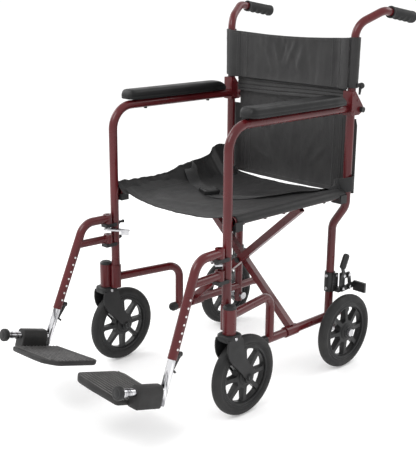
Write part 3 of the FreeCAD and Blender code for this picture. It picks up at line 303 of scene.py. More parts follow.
def add_area_light(name, place, target, width, power):
    data = bpy.data.lights.new(name, "AREA")
    data.shape = "RECTANGLE"
    data.size = width
    data.size_y = width * 0.8
    data.energy = power
    light = place_in_scene(name, data)
    light.location = place
    light.rotation_euler = (Vector(target) - Vector(place)).to_track_quat("-Z", "Y").to_euler()


def make_studio():
    floor_look = Look("floor", (0.90, 0.90, 0.90), 0.8, specular=0.1,
                      Emission_Color=(1, 1, 1, 1), Emission_Strength=0.16)
    floor_look.vary_roughness(3, 0.04)
    bm = bmesh.new()
    bmesh.ops.create_grid(bm, x_segments=8, y_segments=8, size=60)
    mesh = bpy.data.meshes.new("floor")
    bm.to_mesh(mesh)
    mesh.materials.append(floor_look.material)
    floor = place_in_scene("floor", mesh)
    floor.location.z = -0.0005
    world = bpy.data.worlds.new("studio")
    world.use_nodes = True
    sky = world.node_tree.nodes["Background"]
    sky.inputs["Color"].default_value = (1, 1, 1, 1)
    sky.inputs["Strength"].default_value = 1
    bpy.context.scene.world = world
    bpy.context.scene.view_settings.view_transform = "Standard"
    add_area_light("key", (0.2, -2.6, 3), (0, 0, 0.4), 2.2, 60)
    add_area_light("side", (-2.6, -0.6, 2), (0, 0, 0.5), 1.8, 28)
    add_area_light("rear", (1.2, 2.6, 2.6), (0, 0, 0.5), 2, 26)


make_camera()
make_studio()

# ---- mesh helpers


def add_ring(bm, points):
    return [bm.verts.new(point) for point in points]


def join_rings(bm, first, second):
    """Faces between two rings of points, either of which may be a single point."""
    for index in range(max(len(first), len(second))):
        corners = (first[index % len(first)], first[(index + 1) % len(first)],
                   second[(index + 1) % len(second)], second[index % len(second)])
        corners = list(dict.fromkeys(corners))
        if len(corners) > 2:
            bm.faces.new(corners)


def lathe(bm, outline, origin, axis, segments):
    """Turns (radius, along) points about an axis; a radius of nought closes the end."""
    origin = Vector(origin)
    axis = axis.normalized()
    side = axis.orthogonal().normalized()
    other = axis.cross(side)
    rings = []
    for radius, along in outline:
        points = []
        for step in range(segments if radius else 1):
            spoke = polar(radius, 2 * math.pi * step / segments)
            points.append(origin + axis * along + side * spoke.x + other * spoke.y)
        rings.append(add_ring(bm, points))
    for first, second in zip(rings, rings[1:]):
        join_rings(bm, first, second)


def both_faces(outline):
    """An outline of (radius, along) points, followed by its mirror image."""
    return outline + [(radius, -along) for radius, along in reversed(outline)]


def rounded(outline, radius, steps=5):
    """An outline with each corner turned into a small arc."""
    result = []
    count = len(outline)
    for index, corner in enumerate(outline):
        corner = Vector(corner)
        before = Vector(outline[index - 1]) - corner
        after = Vector(outline[(index + 1) % count]) - corner
        cut = min(radius, before.length * 0.45, after.length * 0.45)
        start = corner + before.normalized() * cut
        finish = corner + after.normalized() * cut
        for step in range(steps + 1):
            share = step / steps
            result.append(start * (1 - share) ** 2 + corner * 2 * share * (1 - share) + finish * share ** 2)
    return result


def loft(bm, rings):
    """Joins rings of points into a tube with closed ends."""
    made = [add_ring(bm, ring) for ring in rings]
    for first, second in zip(made, made[1:]):
        join_rings(bm, first, second)
    bm.faces.new(list(reversed(made[0])))
    bm.faces.new(made[-1])


def plate(bm, outline, middle, thickness, edge):
    """A flat plate facing sideways with eased edges, from (back, z) points."""
    half = thickness / 2
    centre = sum((Vector(point) for point in outline), Vector((0, 0))) / len(outline)
    rings = []
    for offset, inset in ((-half, edge), (-half + edge, 0), (half - edge, 0), (half, edge)):
        ring = []
        for point in outline:
            point = Vector(point)
            inward = centre - point
            moved = point + inward.normalized() * min(inset, inward.length * 0.5)
            ring.append(Vector((middle + offset, moved.x, moved.y)))
        rings.append(ring)
    loft(bm, rings)


def sweep(bm, path, section, side_hint):
    """Carries a closed (across, up) section along a path, kept level with a side direction."""
    rings = []
    for index, point in enumerate(path):
        before = path[max(index - 1, 0)]
        after = path[min(index + 1, len(path) - 1)]
        along = (after - before).normalized()
        hint = side_hint[index] if isinstance(side_hint, list) else side_hint
        across = (hint - along * hint.dot(along)).normalized()
        up = across.cross(along)
        rings.append([point + across * u + up * v for u, v in section])
    loft(bm, rings)


def smooth_path(points, steps):
    """Points along a smooth curve through a few given ones."""
    points = [Vector(point) for point in points]
    padded = [points[0] * 2 - points[1]] + points + [points[-1] * 2 - points[-2]]
    path = []
    for index in range(1, len(padded) - 2):
        p0, p1, p2, p3 = padded[index - 1:index + 3]
        for step in range(steps):
            t = step / steps
            path.append(0.5 * (2 * p1 + (p2 - p0) * t + (2 * p0 - 5 * p1 + 4 * p2 - p3) * t * t
                               + (3 * p1 - p0 - 3 * p2 + p3) * t ** 3))
    path.append(points[-1])
    return path


def strap_section(width, thickness):
    """A flat section with eased edges."""
    half = width / 2
    thin = thickness / 2
    top = [(half, thin * 0.4), (half - thin, thin), (0, thin), (-half + thin, thin), (-half, thin * 0.4)]
    return [(x, -y) for x, y in reversed(top)] + top


def piece(name, bm, look, body=None, sign=1, replaced=None, crease=32, subdivisions=0):
    """Turns a millimetre mesh into a piece that rides on a body, mirrored for the right side."""
    if sign < 0:
        bmesh.ops.scale(bm, vec=(-1, 1, 1), verts=bm.verts)
    bmesh.ops.remove_doubles(bm, verts=bm.verts, dist=0.001)
    bmesh.ops.recalc_face_normals(bm, faces=bm.faces)
    bm.transform(TO_ROW)
    mesh = bpy.data.meshes.new(name)
    bm.to_mesh(mesh)
    bm.free()
    mesh.materials.append(looks[look])
    shade_smooth(mesh, crease)
    thing = place_in_scene(name, mesh)
    if subdivisions:
        modifier = thing.modifiers.new("smooth", "SUBSURF")
        modifier.levels = subdivisions
        modifier.render_levels = subdivisions
    if body:
        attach(thing, body)
    if replaced:
        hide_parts(replaced)
    return thing


def screw_head(bm, place, axis, radius=5, height=2.8):
    lathe(bm, [(0, height), (radius * 0.45, height), (radius * 0.85, height * 0.7), (radius, height * 0.2),
               (radius, 0), (0, 0)], place, axis, 24)


# ---- wheels

HUB_RADIUS = 17
RIM_INNER = 70
SPOKES = 8


def ray_to_outline(outline, centre, angle):
    """Where a ray from a centre first leaves a closed (x, y) outline."""
    direction = polar(1, angle)
    nearest = None
    for index, start in enumerate(outline):
        edge = outline[(index + 1) % len(outline)] - start
        crossing = direction.x * edge.y - direction.y * edge.x
        if abs(crossing) < 1e-9:
            continue
        offset = start - centre
        reach = (offset.x * edge.y - offset.y * edge.x) / crossing
        share = (offset.x * direction.y - offset.y * direction.x) / crossing
        if reach > 0 and -1e-6 <= share <= 1 + 1e-6 and (nearest is None or reach < nearest):
            nearest = reach
    return centre + direction * nearest


def wheel_window():
    """One opening between two spokes and the share of the disc round it, as matched outlines."""
    half_sector = math.pi / SPOKES
    half_spoke, inner, outer = 5.2, 30, 67.6
    corners = [(radius, sign * (half_sector - math.asin(half_spoke / radius)))
               for radius, sign in ((inner, -1), (outer, -1), (outer, 1), (inner, 1))]
    opening = []
    for (radius, angle), (next_radius, next_angle) in zip(corners, corners[1:] + corners[:1]):
        shares = (0, 0.25, 0.5, 0.75) if radius == next_radius else (0,)
        opening += [polar(radius, mix(angle, next_angle, share)) for share in shares]
    opening = rounded(opening, 5)
    turns = [mix(-half_sector, half_sector, step / 10) for step in range(11)]
    sector = [polar(RIM_INNER, a) for a in turns] + [polar(HUB_RADIUS, a) for a in reversed(turns)]
    centre = Vector((50, 0))
    # rays go exactly to the sector's four corners, so that neighbouring sectors meet
    marks = [math.atan2(p.y - centre.y, p.x - centre.x) % (2 * math.pi) for p in sector]
    extra = [2 * math.pi * step / 48 for step in range(48)]
    angles = sorted(marks + [a for a in extra if min(abs(a - m) for m in marks) > 0.05])
    return ([ray_to_outline(opening, centre, a) for a in angles],
            [ray_to_outline(sector, centre, a) for a in angles])


def disc_half_depth(radius):
    """Half the spoked disc's thickness: deep at the hub, thinner toward the rim."""
    return mix(9.8, 6.8, smoothstep((radius - HUB_RADIUS) / (RIM_INNER - HUB_RADIUS)))


def build_wheel(kind, side, sign, x, back):
    centre = Vector((x, back, WHEEL_RADIUS))
    bm = bmesh.new()
    window, sector = wheel_window()
    for spoke in range(SPOKES):
        turn = Matrix.Rotation(2 * math.pi * (spoke + 0.5) / SPOKES, 3, "X")
        rings = []
        for face in (1, -1):
            pair = []
            for outline, lift in ((sector, 0), (window, 0), (window, -1.6)):
                ring = [centre + turn @ Vector((face * (disc_half_depth(p.length) + lift), *p))
                        for p in outline]
                pair.append(add_ring(bm, ring))
            join_rings(bm, pair[0], pair[1])
            join_rings(bm, pair[1], pair[2])
            rings.append(pair[2])
        join_rings(bm, rings[0], rings[1])
    bmesh.ops.remove_doubles(bm, verts=bm.verts, dist=0.02)
    hub = [(6.4, 17.3), (10, 17.5), (15.3, 17.5), (16.3, 16.6), (16.8, 14.4), (20.4, 13.4),
           (23, 10.3), (HUB_RADIUS - 0.5, 9.6)]
    lathe(bm, both_faces(hub), centre, X_AXIS, 56)
    rim = [(RIM_INNER + 0.4, 6.6), (RIM_INNER - 0.6, 8.6), (RIM_INNER + 0.4, 11), (72.5, 11.4),
           (74.5, 9.8), (78, 9.6), (79, 11), (80.2, 11)]
    lathe(bm, both_faces(rim), centre, X_AXIS, 96)
    body = kind + "_wheel_" + side
    piece(kind + "_wheel_detail_" + side, bm, "wheel_plastic", body, sign, body, crease=38)

    bm = bmesh.new()
    wall = [(80, 10.6), (80.6, 12), (82.4, 12.6), (83.2, 11.9), (84, 12.7), (88.5, 13.2),
            (92, 13), (93, 12.2), (94, 12.3), (97.2, 10.4), (99.8, 7.6), (101.1, 4.4),
            (WHEEL_RADIUS, 1.8)]
    lathe(bm, both_faces(wall), centre, X_AXIS, 112)
    piece(kind + "_tyre_detail_" + side, bm, "tyre_rubber", body, sign, kind + "_tyre_" + side, crease=50)


CASTER_X = 231.5
BARREL_BACK = -14
CASTER_AXLE_BACK = 35.7
REAR_WHEEL_X = 224.5
REAR_AXLE_BACK = 440.6

for side, sign in SIDES:
    build_wheel("caster", side, sign, CASTER_X, CASTER_AXLE_BACK)
    build_wheel("rear", side, sign, REAR_WHEEL_X, REAR_AXLE_BACK)


# ---- caster forks


def build_fork(side, sign):
    """Moulded fork: a hooded crown, and two legs that sweep back to the axle."""
    bm = bmesh.new()
    top = 221.9
    leg_front = smooth_path([(-39.5, 205), (-40, 188), (-35, 168), (-22, 150), (-4, 132), (10, 116),
                             (22, 101)], 4)
    leg_rear = smooth_path([(11, 208), (13, 190), (19, 170), (27, 152), (36, 136), (44, 122), (49, 108)], 4)
    axle = Vector((CASTER_AXLE_BACK, WHEEL_RADIUS))
    boss = [axle + polar(14.2, math.radians(166 + step * 17.5)) for step in range(13)]
    outline = [(-37, 213)] + leg_front + boss + leg_rear[::-1] + [(8, 213)]
    for outward in (1, -1):
        middle = CASTER_X + outward * 20.85
        plate(bm, outline, middle, 4.6, 1.2)
        lathe(bm, [(0, -3.2), (8.6, -3.2), (9.4, -2.4), (9.4, 2.4), (8.6, 3.2), (0, 3.2)],
              (middle, *axle), X_AXIS, 32)
        lathe(bm, [(8.9, 1.8), (9, 3.6), (8.2, 6.4), (6.2, 7.9), (3, 8.4), (0, 8.5)],
              (middle, *axle), X_AXIS * outward, 32)
    rings = []
    for z, grow in ((top - 15, 0.2), (top - 11, 0.9), (top - 3, 0.6), (top - 0.6, -1.2), (top, -3.4)):
        half = 22.6 + grow * 0.4
        low, high = -37.8 - grow, 11 + grow
        section = rounded([(-half, low), (half, low), (half, high), (-half, high)], 15, 6)
        rings.append([Vector((CASTER_X + p.x, p.y, z)) for p in section])
    loft(bm, rings)
    lathe(bm, [(0, top - 2), (17.2, top - 2), (17.2, top + 0.2), (15, top + 0.5), (6, top + 0.5),
               (6, top + 55), (0, top + 56)], (CASTER_X, BARREL_BACK, 0), Z_AXIS, 40)
    piece("caster_fork_detail_" + side, bm, "black_plastic", "caster_fork_" + side, sign,
          "caster_fork_" + side, crease=40)
    bm = bmesh.new()
    for face in (-1, 1):
        screw_head(bm, (CASTER_X + face * 23, BARREL_BACK, 214), X_AXIS * face, 4.2, 2.2)
    piece("caster_fork_bolts_" + side, bm, "bright_steel", "caster_fork_" + side, sign)


on_both_sides(build_fork)


# ---- push grips


def build_grip(side, sign):
    """Ribbed rubber grip with a collar, finger waves underneath and a domed end."""
    start = Vector((248, 507, 947.5))
    finish = Vector((248, 631, 928.5))
    along = (finish - start).normalized()
    length = 104
    origin = finish + along * (5.2 - length)
    outline = [(10.6, 1.2), (12, 0), (15.3, 0.2), (15.5, 2.4), (15.2, 5), (14.2, 6.2)]
    rib = 8
    while rib < length - 16:
        outline += [(14, rib), (14.7, rib + 0.8), (14.7, rib + 2.2), (14, rib + 3)]
        rib += 4
    outline += [(14.4, length - 12.5), (15.2, length - 11), (15.5, length - 7), (15.2, length - 3),
                (13.2, length - 0.9), (9, length), (0, length)]
    bm = bmesh.new()
    lathe(bm, outline, origin, along, 48)
    for vert in bm.verts:
        offset = vert.co - origin
        reach = offset.dot(along)
        outward = offset - along * reach
        if outward.z < 0 and outward.length > 12 and 6 < reach < length - 6:
            outward.normalize()
            swell = 1.3 * math.sin(2 * math.pi * reach / 22) - 0.4
            vert.co -= outward * (outward.z * swell)
    piece("push_grip_detail_" + side, bm, "grip_rubber", "upper_cane_" + side, sign,
          "push_grip_" + side, crease=45)


on_both_sides(build_grip)


# ---- arm pads


def build_arm_pad(side, sign):
    """Moulded pad: flat base lip, soft crown, and rounded ends that dip at the front."""
    front, rear = 45, 402
    low, high = 717.6, 745
    bm = bmesh.new()
    half_section = [(-0.86, 0), (-0.95, 0.05), (-0.985, 0.16), (-0.97, 0.30), (-0.945, 0.335),
                    (-0.985, 0.38), (-1, 0.52), (-0.98, 0.70), (-0.90, 0.86), (-0.74, 0.955),
                    (-0.45, 0.992)]
    section = half_section + [(0, 1)] + [(-u, v) for u, v in reversed(half_section)]
    rings = []
    for step in range(57):
        share = step / 56
        back = mix(front, rear, share)
        from_front = (back - front) / 24
        from_rear = (rear - back) / 48
        nose = math.sqrt(max(0, 1 - (1 - min(1, from_front)) ** 2))
        tail = min(1, from_rear) ** 0.55
        round_off = max(0.16, nose * tail)
        half = 24 * mix(0.62, 1, round_off) * (1 - 0.02 * math.sin(2 * math.pi * share))
        crown = mix(low + 9, high, smoothstep(round_off * 1.15) ** 0.8)
        base = low + 2.2 * (1 - smoothstep(from_front / 1.4))
        rings.append([Vector((CANE_X + u * half, back, mix(base, crown, v))) for u, v in section])
    loft(bm, rings)
    thing = piece("arm_pad_detail_" + side, bm, "pad_skin", side + "_frame", sign,
                  "arm_pad_" + side, crease=60, subdivisions=1)


on_both_sides(build_arm_pad)


# ---- footplates

HANGER_TOP_Z = 415.5
HANGER_CORNER = (211.3, -97.8)
HANGER_SLOPE = math.radians(22.15)
HANGER_SPLAY = math.radians(2.2)
ROD_Z = 137
ROD_SLOPE = math.radians(16)


def hanger_point(z):
    fall = HANGER_TOP_Z - z
    return Vector((HANGER_CORNER[0] + fall * math.tan(HANGER_SPLAY),
                   HANGER_CORNER[1] - fall * math.tan(HANGER_SLOPE), z))


def rod_point(inboard, lift, forward):
    """A point by its place along the plate's rod, square above it, and inboard of it."""
    start = hanger_point(ROD_Z)
    return start + Vector((-inboard,
                           -forward * math.cos(ROD_SLOPE) + lift * math.sin(ROD_SLOPE),
                           forward * math.sin(ROD_SLOPE) + lift * math.cos(ROD_SLOPE)))


PLATE_TOP = -25
PLATE_THICK = 11
PLATE_ROLL = math.radians(4)


def plate_point(inboard, lift, forward):
    """A point of the tread plate, which rises a little toward its inner end."""
    return rod_point(inboard * math.cos(PLATE_ROLL) - lift * math.sin(PLATE_ROLL),
                     inboard * math.sin(PLATE_ROLL) + lift * math.cos(PLATE_ROLL), forward)


# (inboard, forward) corners of the plate's front edge: widest in the middle, the inner corner cut off
PLATE_FRONT = ((13, 117), (105, 125), (151, 124), (183, 100))


def plate_front_edge(inboard):
    for (start, near), (finish, far) in zip(PLATE_FRONT, PLATE_FRONT[1:]):
        if inboard <= finish:
            return mix(near, far, (inboard - start) / (finish - start))


def build_footplate(side, sign):
    """A ribbed tread plate moulded in one with the sleeve that turns on the rod."""
    bm = bmesh.new()
    outer, inner, rear = 13, 183, -29
    outline = rounded([(outer, rear + 4), (inner - 16, rear), (inner, rear + 14), *reversed(PLATE_FRONT)], 9)
    middle = Vector(((outer + inner) / 2, 47))
    rings = []
    for depth, inset in ((PLATE_THICK, 3.4), (PLATE_THICK - 2, 1.2), (3.5, 0.3), (0.8, 0.5), (0, 1.8)):
        ring = []
        for point in outline:
            inward = (middle - point).normalized() * inset
            ring.append(plate_point(point.x + inward.x, PLATE_TOP - depth, point.y + inward.y))
        rings.append(ring)
    loft(bm, rings)
    start, length = 14.6, 72.6
    sleeve = rounded([(-17, -36.4), (17, -36.4), (17.2, 2), (11, 15), (4, 16.4), (-4, 16.4), (-11, 15),
                      (-17.2, 2)], 6)
    rings = []
    for share, inset in ((0, 2.4), (0.02, 0.6), (0.05, 0), (0.95, 0), (0.98, 0.6), (1, 2.4)):
        grow = 1 - inset / 20
        rings.append([rod_point(p.x * grow, (p.y + 11) * grow - 11, start + length * share) for p in sleeve])
    loft(bm, rings)
    piece("footplate_detail_" + side, bm, "footplate_plastic", "footplate_" + side,
          sign, "footplate_" + side, crease=38)


def build_treads(side, sign):
    """Ridges across the plate, from the sleeve toward its inner end, in a lighter grey that is painted
    highlight for the light their tops catch.
    """
    bm = bmesh.new()
    outer, inner, tread = 16, 177, -17
    while tread < 118:
        finish = inner
        while plate_front_edge(finish) < tread + 6:
            finish -= 2
        section = [(-1.5, -0.4), (-0.8, 1.7), (0.8, 1.7), (1.5, -0.4)]
        rings = [[plate_point(inboard, PLATE_TOP + lift, tread + across) for across, lift in section]
                 for inboard in (outer, finish)]
        loft(bm, rings)
        tread += 10.4
    piece("footplate_treads_" + side, bm, "ridge_painted_highlight", "footplate_" + side, sign)


def build_rod_cap(side, sign):
    """The black cap on the front end of the rod, with a shallow ring in its face."""
    base = rod_point(0, 0, 126.4)
    outline = [(11.4, -0.6), (13.6, 0.9), (15.7, 3.4), (15.9, 5.4), (15.9, 10.6), (15, 12.8), (11.8, 14.1),
               (10.9, 13.8), (9.4, 13.8), (8.6, 14.3), (0, 14.6)]
    bm = bmesh.new()
    lathe(bm, outline, base, rod_point(0, 0, 127.4) - base, 36)
    piece("rod_cap_detail_" + side, bm, "black_plastic", "extension_" + side, sign)


on_both_sides(build_footplate, build_treads, build_rod_cap)


# ---- hardware


def build_small_hardware(side, sign):
    """Screws, rivets, bolt ends and the row of height holes down the hanger."""
    bm = bmesh.new()
    for z, reach in ((400, 19), (360, 9.5)):
        lathe(bm, [(0, reach), (3.4, reach), (4.5, reach - 1.2), (4.5, reach - 4), (3.4, reach - 5.2),
                   (3.2, 3.2), (5.8, 2.6), (5.8, 0), (0, 0)], (UPRIGHT_X, TUBE - 0.6, z), Y_AXIS, 24)
    screw_head(bm, (UPRIGHT_X, TUBE - 0.5, 466), Y_AXIS, 3.5, 2.2)
    piece("upright_bolt_ends_" + side, bm, "black_steel", side + "_frame", sign)

    # the left seat rail is welded to brace B and the right one to brace A
    bm = bmesh.new()
    for back in (52, 128, 196, 352):
        screw_head(bm, (UPRIGHT_X, back, SEAT_RAIL_Z - TUBE + 0.5), -Z_AXIS, 4.6, 3.2)
    piece("seat_rail_screws_" + side, bm, "black_steel", "brace_b" if side == "left" else "brace_a", sign)

    bm = bmesh.new()
    leg = (hanger_point(200) - hanger_point(400)).normalized()
    rearward = X_AXIS.cross(leg).normalized()
    for face in (-1, 1):
        outward = (X_AXIS * face - rearward * 0.12).normalized()
        for step in range(7):
            place = hanger_point(332 - step * 17.5)
            lathe(bm, [(0, 0.28), (2, 0.28), (2.6, 0.1), (2.7, -1), (0, -1)],
                  place + outward * (TUBE - 0.05), outward, 20)
    piece("height_holes_" + side, bm, "hole_rim", "hanger_" + side, sign)

    bm = bmesh.new()
    for face in (-1, 1):
        for back, z in ((431, 697), (431, 741), (446, 727)):
            screw_head(bm, (CANE_X + face * (TUBE + 3.4), back, z), X_AXIS * face, 3.6, 1.8)
    piece("bracket_rivets_" + side, bm, "frame_paint", side + "_frame", sign)


on_both_sides(build_small_hardware)


# ---- wheel locks

LEVER_LAYER = 203.05
LOCK_PLATE_FACE = 197
LEVER_FACE = 204.85
LINK_PIN_FACE = 208.9
LEVER_PIN = (460, 247)
SHOE_PIN = (457, 210.5)
LINK_TOP = (475.8, 248.5)
LINK_LOW = (482, 213)


def build_lock_lever(side, sign):
    """The hand lever: a flat arm and a grip with rounded ends, and the pin that pushes the link."""
    bm = bmesh.new()
    arm = rounded([(444, 244), (453.5, 240.5), (482.3, 240.5), (482.3, 256.5), (463, 256), (454, 276),
                   (444, 276), (451, 256), (444, 251)], 3, 4)
    plate(bm, arm, LEVER_LAYER, 3.5, 0.4)
    low = Vector((LEVER_LAYER, 449, 270))
    along = (Vector((LEVER_LAYER, 465, 304)) - low).normalized()
    across = X_AXIS.cross(along)
    rings = []
    for reach, grow in ((0, 0.5), (1.2, 0.78), (4.5, 0.98), (10, 1), (33, 1), (38.5, 0.94),
                        (41.6, 0.75), (43, 0.42)):
        oval = [polar(grow, 2 * math.pi * step / 28) for step in range(28)]
        rings.append([low + along * reach + X_AXIS * (8.8 * p.x) + across * (9.6 * p.y) for p in oval])
    loft(bm, rings)
    lathe(bm, [(0, 0), (3, 0), (3, 7.4), (0, 7.4)], (201.4, *LINK_TOP), X_AXIS, 20)
    piece("lock_lever_detail_" + side, bm, "black_steel", "lock_lever_" + side, sign,
          "lock_lever_" + side, crease=40)


def build_lock_pins(side, sign):
    """The clamp's flange, and plated pin heads on the bracket, the lever and the shoe arm."""
    bm = bmesh.new()
    flange = rounded([(430, 206), (451, 206), (451, 256), (430, 256)], 3, 4)
    plate(bm, flange, 187.2, 5.6, 0.5)
    piece("lock_flange_" + side, bm, "black_steel", side + "_frame", sign, crease=40)
    bm = bmesh.new()
    for pin in (LEVER_PIN, SHOE_PIN):
        screw_head(bm, (LOCK_PLATE_FACE, *pin), -X_AXIS, 4.8, 2.4)
        screw_head(bm, (LEVER_FACE, *pin), X_AXIS, 4.8, 2)
    for z in (213, 249):
        screw_head(bm, (171, CANE_BACK - 14.4, z), -Y_AXIS, 4.6, 3)
        screw_head(bm, (190, 445, z), X_AXIS, 4, 2.4)
    piece("lock_bolts_" + side, bm, "bright_steel", side + "_frame", sign)
    for pin, body in ((LINK_TOP, "lock_lever_"), (LINK_LOW, "lock_shoe_")):
        bm = bmesh.new()
        screw_head(bm, (LINK_PIN_FACE, *pin), X_AXIS, 4.4, 1.9)
        piece(body + "rivet_" + side, bm, "bright_steel", body + side, sign)


on_both_sides(build_lock_lever, build_lock_pins)


# ---- back upholstery

BACK_TOP = 881
PLEAT_TOP = 757
PLEAT_LOW = 716
BACK_LOW = 480.5
# the lower panel is cut narrower above this height, so that the hinges stay free
NOTCH_Z = 677
LOWER_TOP = 744
LOWER_WIDE = 219
LOWER_NARROW = 191
MIDDLE_HALF = CANE_X - 2.2


def wave(x, y, z):
    """A smooth random height at a point, the same each time."""
    return noise.noise(Vector((x, y, z)))


def wrinkle(x, z, seed, size):
    """A tall and narrow wave, like creases in hung cloth."""
    return wave(x / size, z / (size * 2.4), seed)


def crease_line(x, z, x0, z0, x1, z1, width):
    """How strongly a point lies on a short crease, fading toward the crease's ends."""
    span = Vector((x1 - x0, z1 - z0))
    offset = Vector((x - x0, z - z0))
    share = offset.dot(span) / span.length_squared
    side = offset.cross(span) / span.length
    fade = math.sin(math.pi * min(1, max(0, share)))
    return fade * math.exp(-(side / width) ** 2)


UPPER_CREASES = ((30, 872, -12, 790, 7, 3.2), (-5, 872, -30, 800, 6, -3), (58, 862, 20, 772, 9, 2.4),
                 (-50, 858, -28, 786, 7, 2.2), (10, 838, 34, 770, 6, -2.4), (-86, 846, -52, 776, 8, 1.8),
                 (88, 852, 72, 800, 10, 1.2), (-20, 880, -6, 836, 6, 2))
LOWER_CREASES = ((-120, 690, -60, 560, 10, 2.4), (-40, 700, -90, 600, 9, -1.8), (20, 660, 70, 560, 12, 2),
                 (90, 640, 50, 540, 10, 1.6), (-150, 560, -60, 520, 9, 1.6), (60, 700, 110, 640, 11, -1.4),
                 (130, 600, 60, 530, 9, 1.5))


def back_offset(x, z, creases, seed):
    """How far forward the cloth stands at a point, from its creases and slow waves."""
    offset = sum(height * crease_line(x, z, x0, z0, x1, z1, width)
                 for x0, z0, x1, z1, width, height in creases)
    return offset + 2.2 * wrinkle(x, z, seed, 46) + 1.1 * wrinkle(x, z, seed + 5, 17)


def cloth_sheet(name, columns, rows, surface, look, thickness, sign=1):
    """A sheet of a thickness, from a surface function of two shares."""
    bm = bmesh.new()
    grid = [[bm.verts.new(surface(column / columns, line / rows)) for column in range(columns + 1)]
            for line in range(rows + 1)]
    for lower, upper in zip(grid, grid[1:]):
        for column in range(columns):
            bm.faces.new((lower[column], lower[column + 1], upper[column + 1], upper[column]))
    thing = piece(name, bm, look, sign=sign, crease=70)
    solid = thing.modifiers.new("thickness", "SOLIDIFY")
    solid.thickness = thickness * MM
    solid.offset = 0
    graph = bpy.context.evaluated_depsgraph_get()
    flat = thing.data
    thing.data = bpy.data.meshes.new_from_object(thing.evaluated_get(graph))
    thing.modifiers.clear()
    bpy.data.meshes.remove(flat)
    return thing


def top_edge(x):
    """The upper panel's top hem, which dips between the canes."""
    return mix(BACK_TOP + 2, BACK_TOP - 6.5, math.cos(x / CANE_X * math.pi / 2) ** 0.8)


def upper_middle_surface(u, v):
    """The upper panel between the canes, which sags a little rearward."""
    x = mix(-MIDDLE_HALF, MIDDLE_HALF, u)
    z = mix(PLEAT_TOP - 3, top_edge(x), v)
    reach = min(u, 1 - u)
    depth = mix(CANE_BACK - 15.4, CANE_BACK - 4, smoothstep((reach - 0.02) / 0.09))
    hang = 5 * math.sin(math.pi * u) * math.sin(math.pi * min(1, v * 1.05)) ** 0.7
    y = depth + hang - smoothstep(reach / 0.10) * back_offset(x, z, UPPER_CREASES, 2)
    return Vector((x, y, z))


def upper_wrap_surface(u, v):
    """The panel's left edge, wrapped from the front round the outside of the cane to its rear."""
    edge_shape = UPPER_CANE + mix(1.6, 2.9, smoothstep(u / 0.12))
    angle = math.radians(mix(115, -118, u))
    z = mix(PLEAT_TOP + 1, top_edge(CANE_X), v)
    # the cane leans outward above its hinge, 3 mm in 193
    lean = (z - 719) / 193 * 3 * smoothstep(u / 0.2)
    bulge = 0.5 * wave(3.1, angle, z / 16)
    return Vector((CANE_X + 0.6 + edge_shape * math.cos(angle) + lean + bulge,
                   CANE_BACK + 0.6 - edge_shape * math.sin(angle), z))


def pleat_depth(z, x):
    """Overlapping horizontal folds, each one tucked under the next."""
    fan = mix(11.5, 9, 0.5 + x / (2 * CANE_X))
    phase = ((PLEAT_TOP - z) / fan) % 1
    return 3.4 * (phase ** 0.6) * (1 - smoothstep((phase - 0.86) / 0.14))


def pleat_surface(u, v):
    x = mix(-LOWER_NARROW, LOWER_NARROW, u)
    z = mix(PLEAT_LOW, PLEAT_TOP + 2, v)
    y = 445.5 + 0.8 * wave(x / 60, z / 20, 4)
    return Vector((x, y - pleat_depth(z, x), z + 1.4 * math.sin(x / 70)))


def lower_depth(x, z):
    """How far rearward the lower panel hangs at a point."""
    u = 0.5 + x / (2 * LOWER_WIDE)
    v = min(1, max(0, (z - BACK_LOW + 4) / (LOWER_TOP - BACK_LOW + 4)))
    reach = min(u, 1 - u)
    behind = CANE_BACK + TUBE + 3.6
    curl = 1.5 + 6 * (1 - smoothstep(reach / 0.02)) * (1 - smoothstep((z - NOTCH_Z + 20) / 20))
    hang = 7 * math.sin(math.pi * u) * math.sin(math.pi * v) ** 0.6
    creases = 0.9 * smoothstep(reach / 0.10) * back_offset(x, z, LOWER_CREASES, 7)
    return behind + hang + curl * (1 - smoothstep(reach / 0.06)) - creases


def lower_back_surface(u, v):
    """The wide part of the lower panel, screwed behind the canes and hanging to its hem."""
    x = mix(-LOWER_WIDE, LOWER_WIDE, u)
    z = mix(BACK_LOW - 4 * math.sin(math.pi * u), NOTCH_Z, v)
    return Vector((x, lower_depth(x, z), z))


def lower_top_surface(u, v):
    """The narrow part above it, between the hinges."""
    x = mix(-LOWER_NARROW, LOWER_NARROW, u)
    z = mix(NOTCH_Z - 2, LOWER_TOP, v)
    return Vector((x, lower_depth(x, z), z))


STITCH_WIDTH = 1.1
STITCH_PITCH = 4.2


def add_seam(bm, path, normal):
    """A line of short raised stitches along a path."""
    lengths = [0]
    for a, b in zip(path, path[1:]):
        lengths.append(lengths[-1] + (b - a).length)
    half = STITCH_PITCH * 0.34
    side = STITCH_WIDTH / 2
    corners = ((-half, 0, 0), (-half / 2, side, 0.25), (half / 2, side, 0.25), (half, 0, 0),
               (half / 2, -side, 0.25), (-half / 2, -side, 0.25))
    reach = STITCH_PITCH / 2
    index = 0
    while reach < lengths[-1] - STITCH_PITCH / 2:
        while lengths[index + 1] < reach:
            index += 1
        share = (reach - lengths[index]) / (lengths[index + 1] - lengths[index])
        place = path[index].lerp(path[index + 1], share)
        along = (path[index + 1] - path[index]).normalized()
        across = along.cross(normal).normalized()
        ring = [place + along * a + across * b + normal * c for a, b, c in corners]
        loft(bm, [[point - normal * 0.6 for point in ring], [point + normal * 0.35 for point in ring]])
        reach += STITCH_PITCH


def seam_on(surface, u0, v0, u1, v1, steps, lift):
    """A path on a surface between two places, raised a little off the cloth."""
    shares = [step / steps for step in range(steps + 1)]
    return [surface(mix(u0, u1, share), mix(v0, v1, share)) + lift for share in shares]


# the way the front of the cloth faces
FORWARD = -Y_AXIS
# distances of the stitch lines and the welts from the middle of the back
SEAM_LINES = (182, 168, 153, 147)
WELT_LINES = (176, 150)


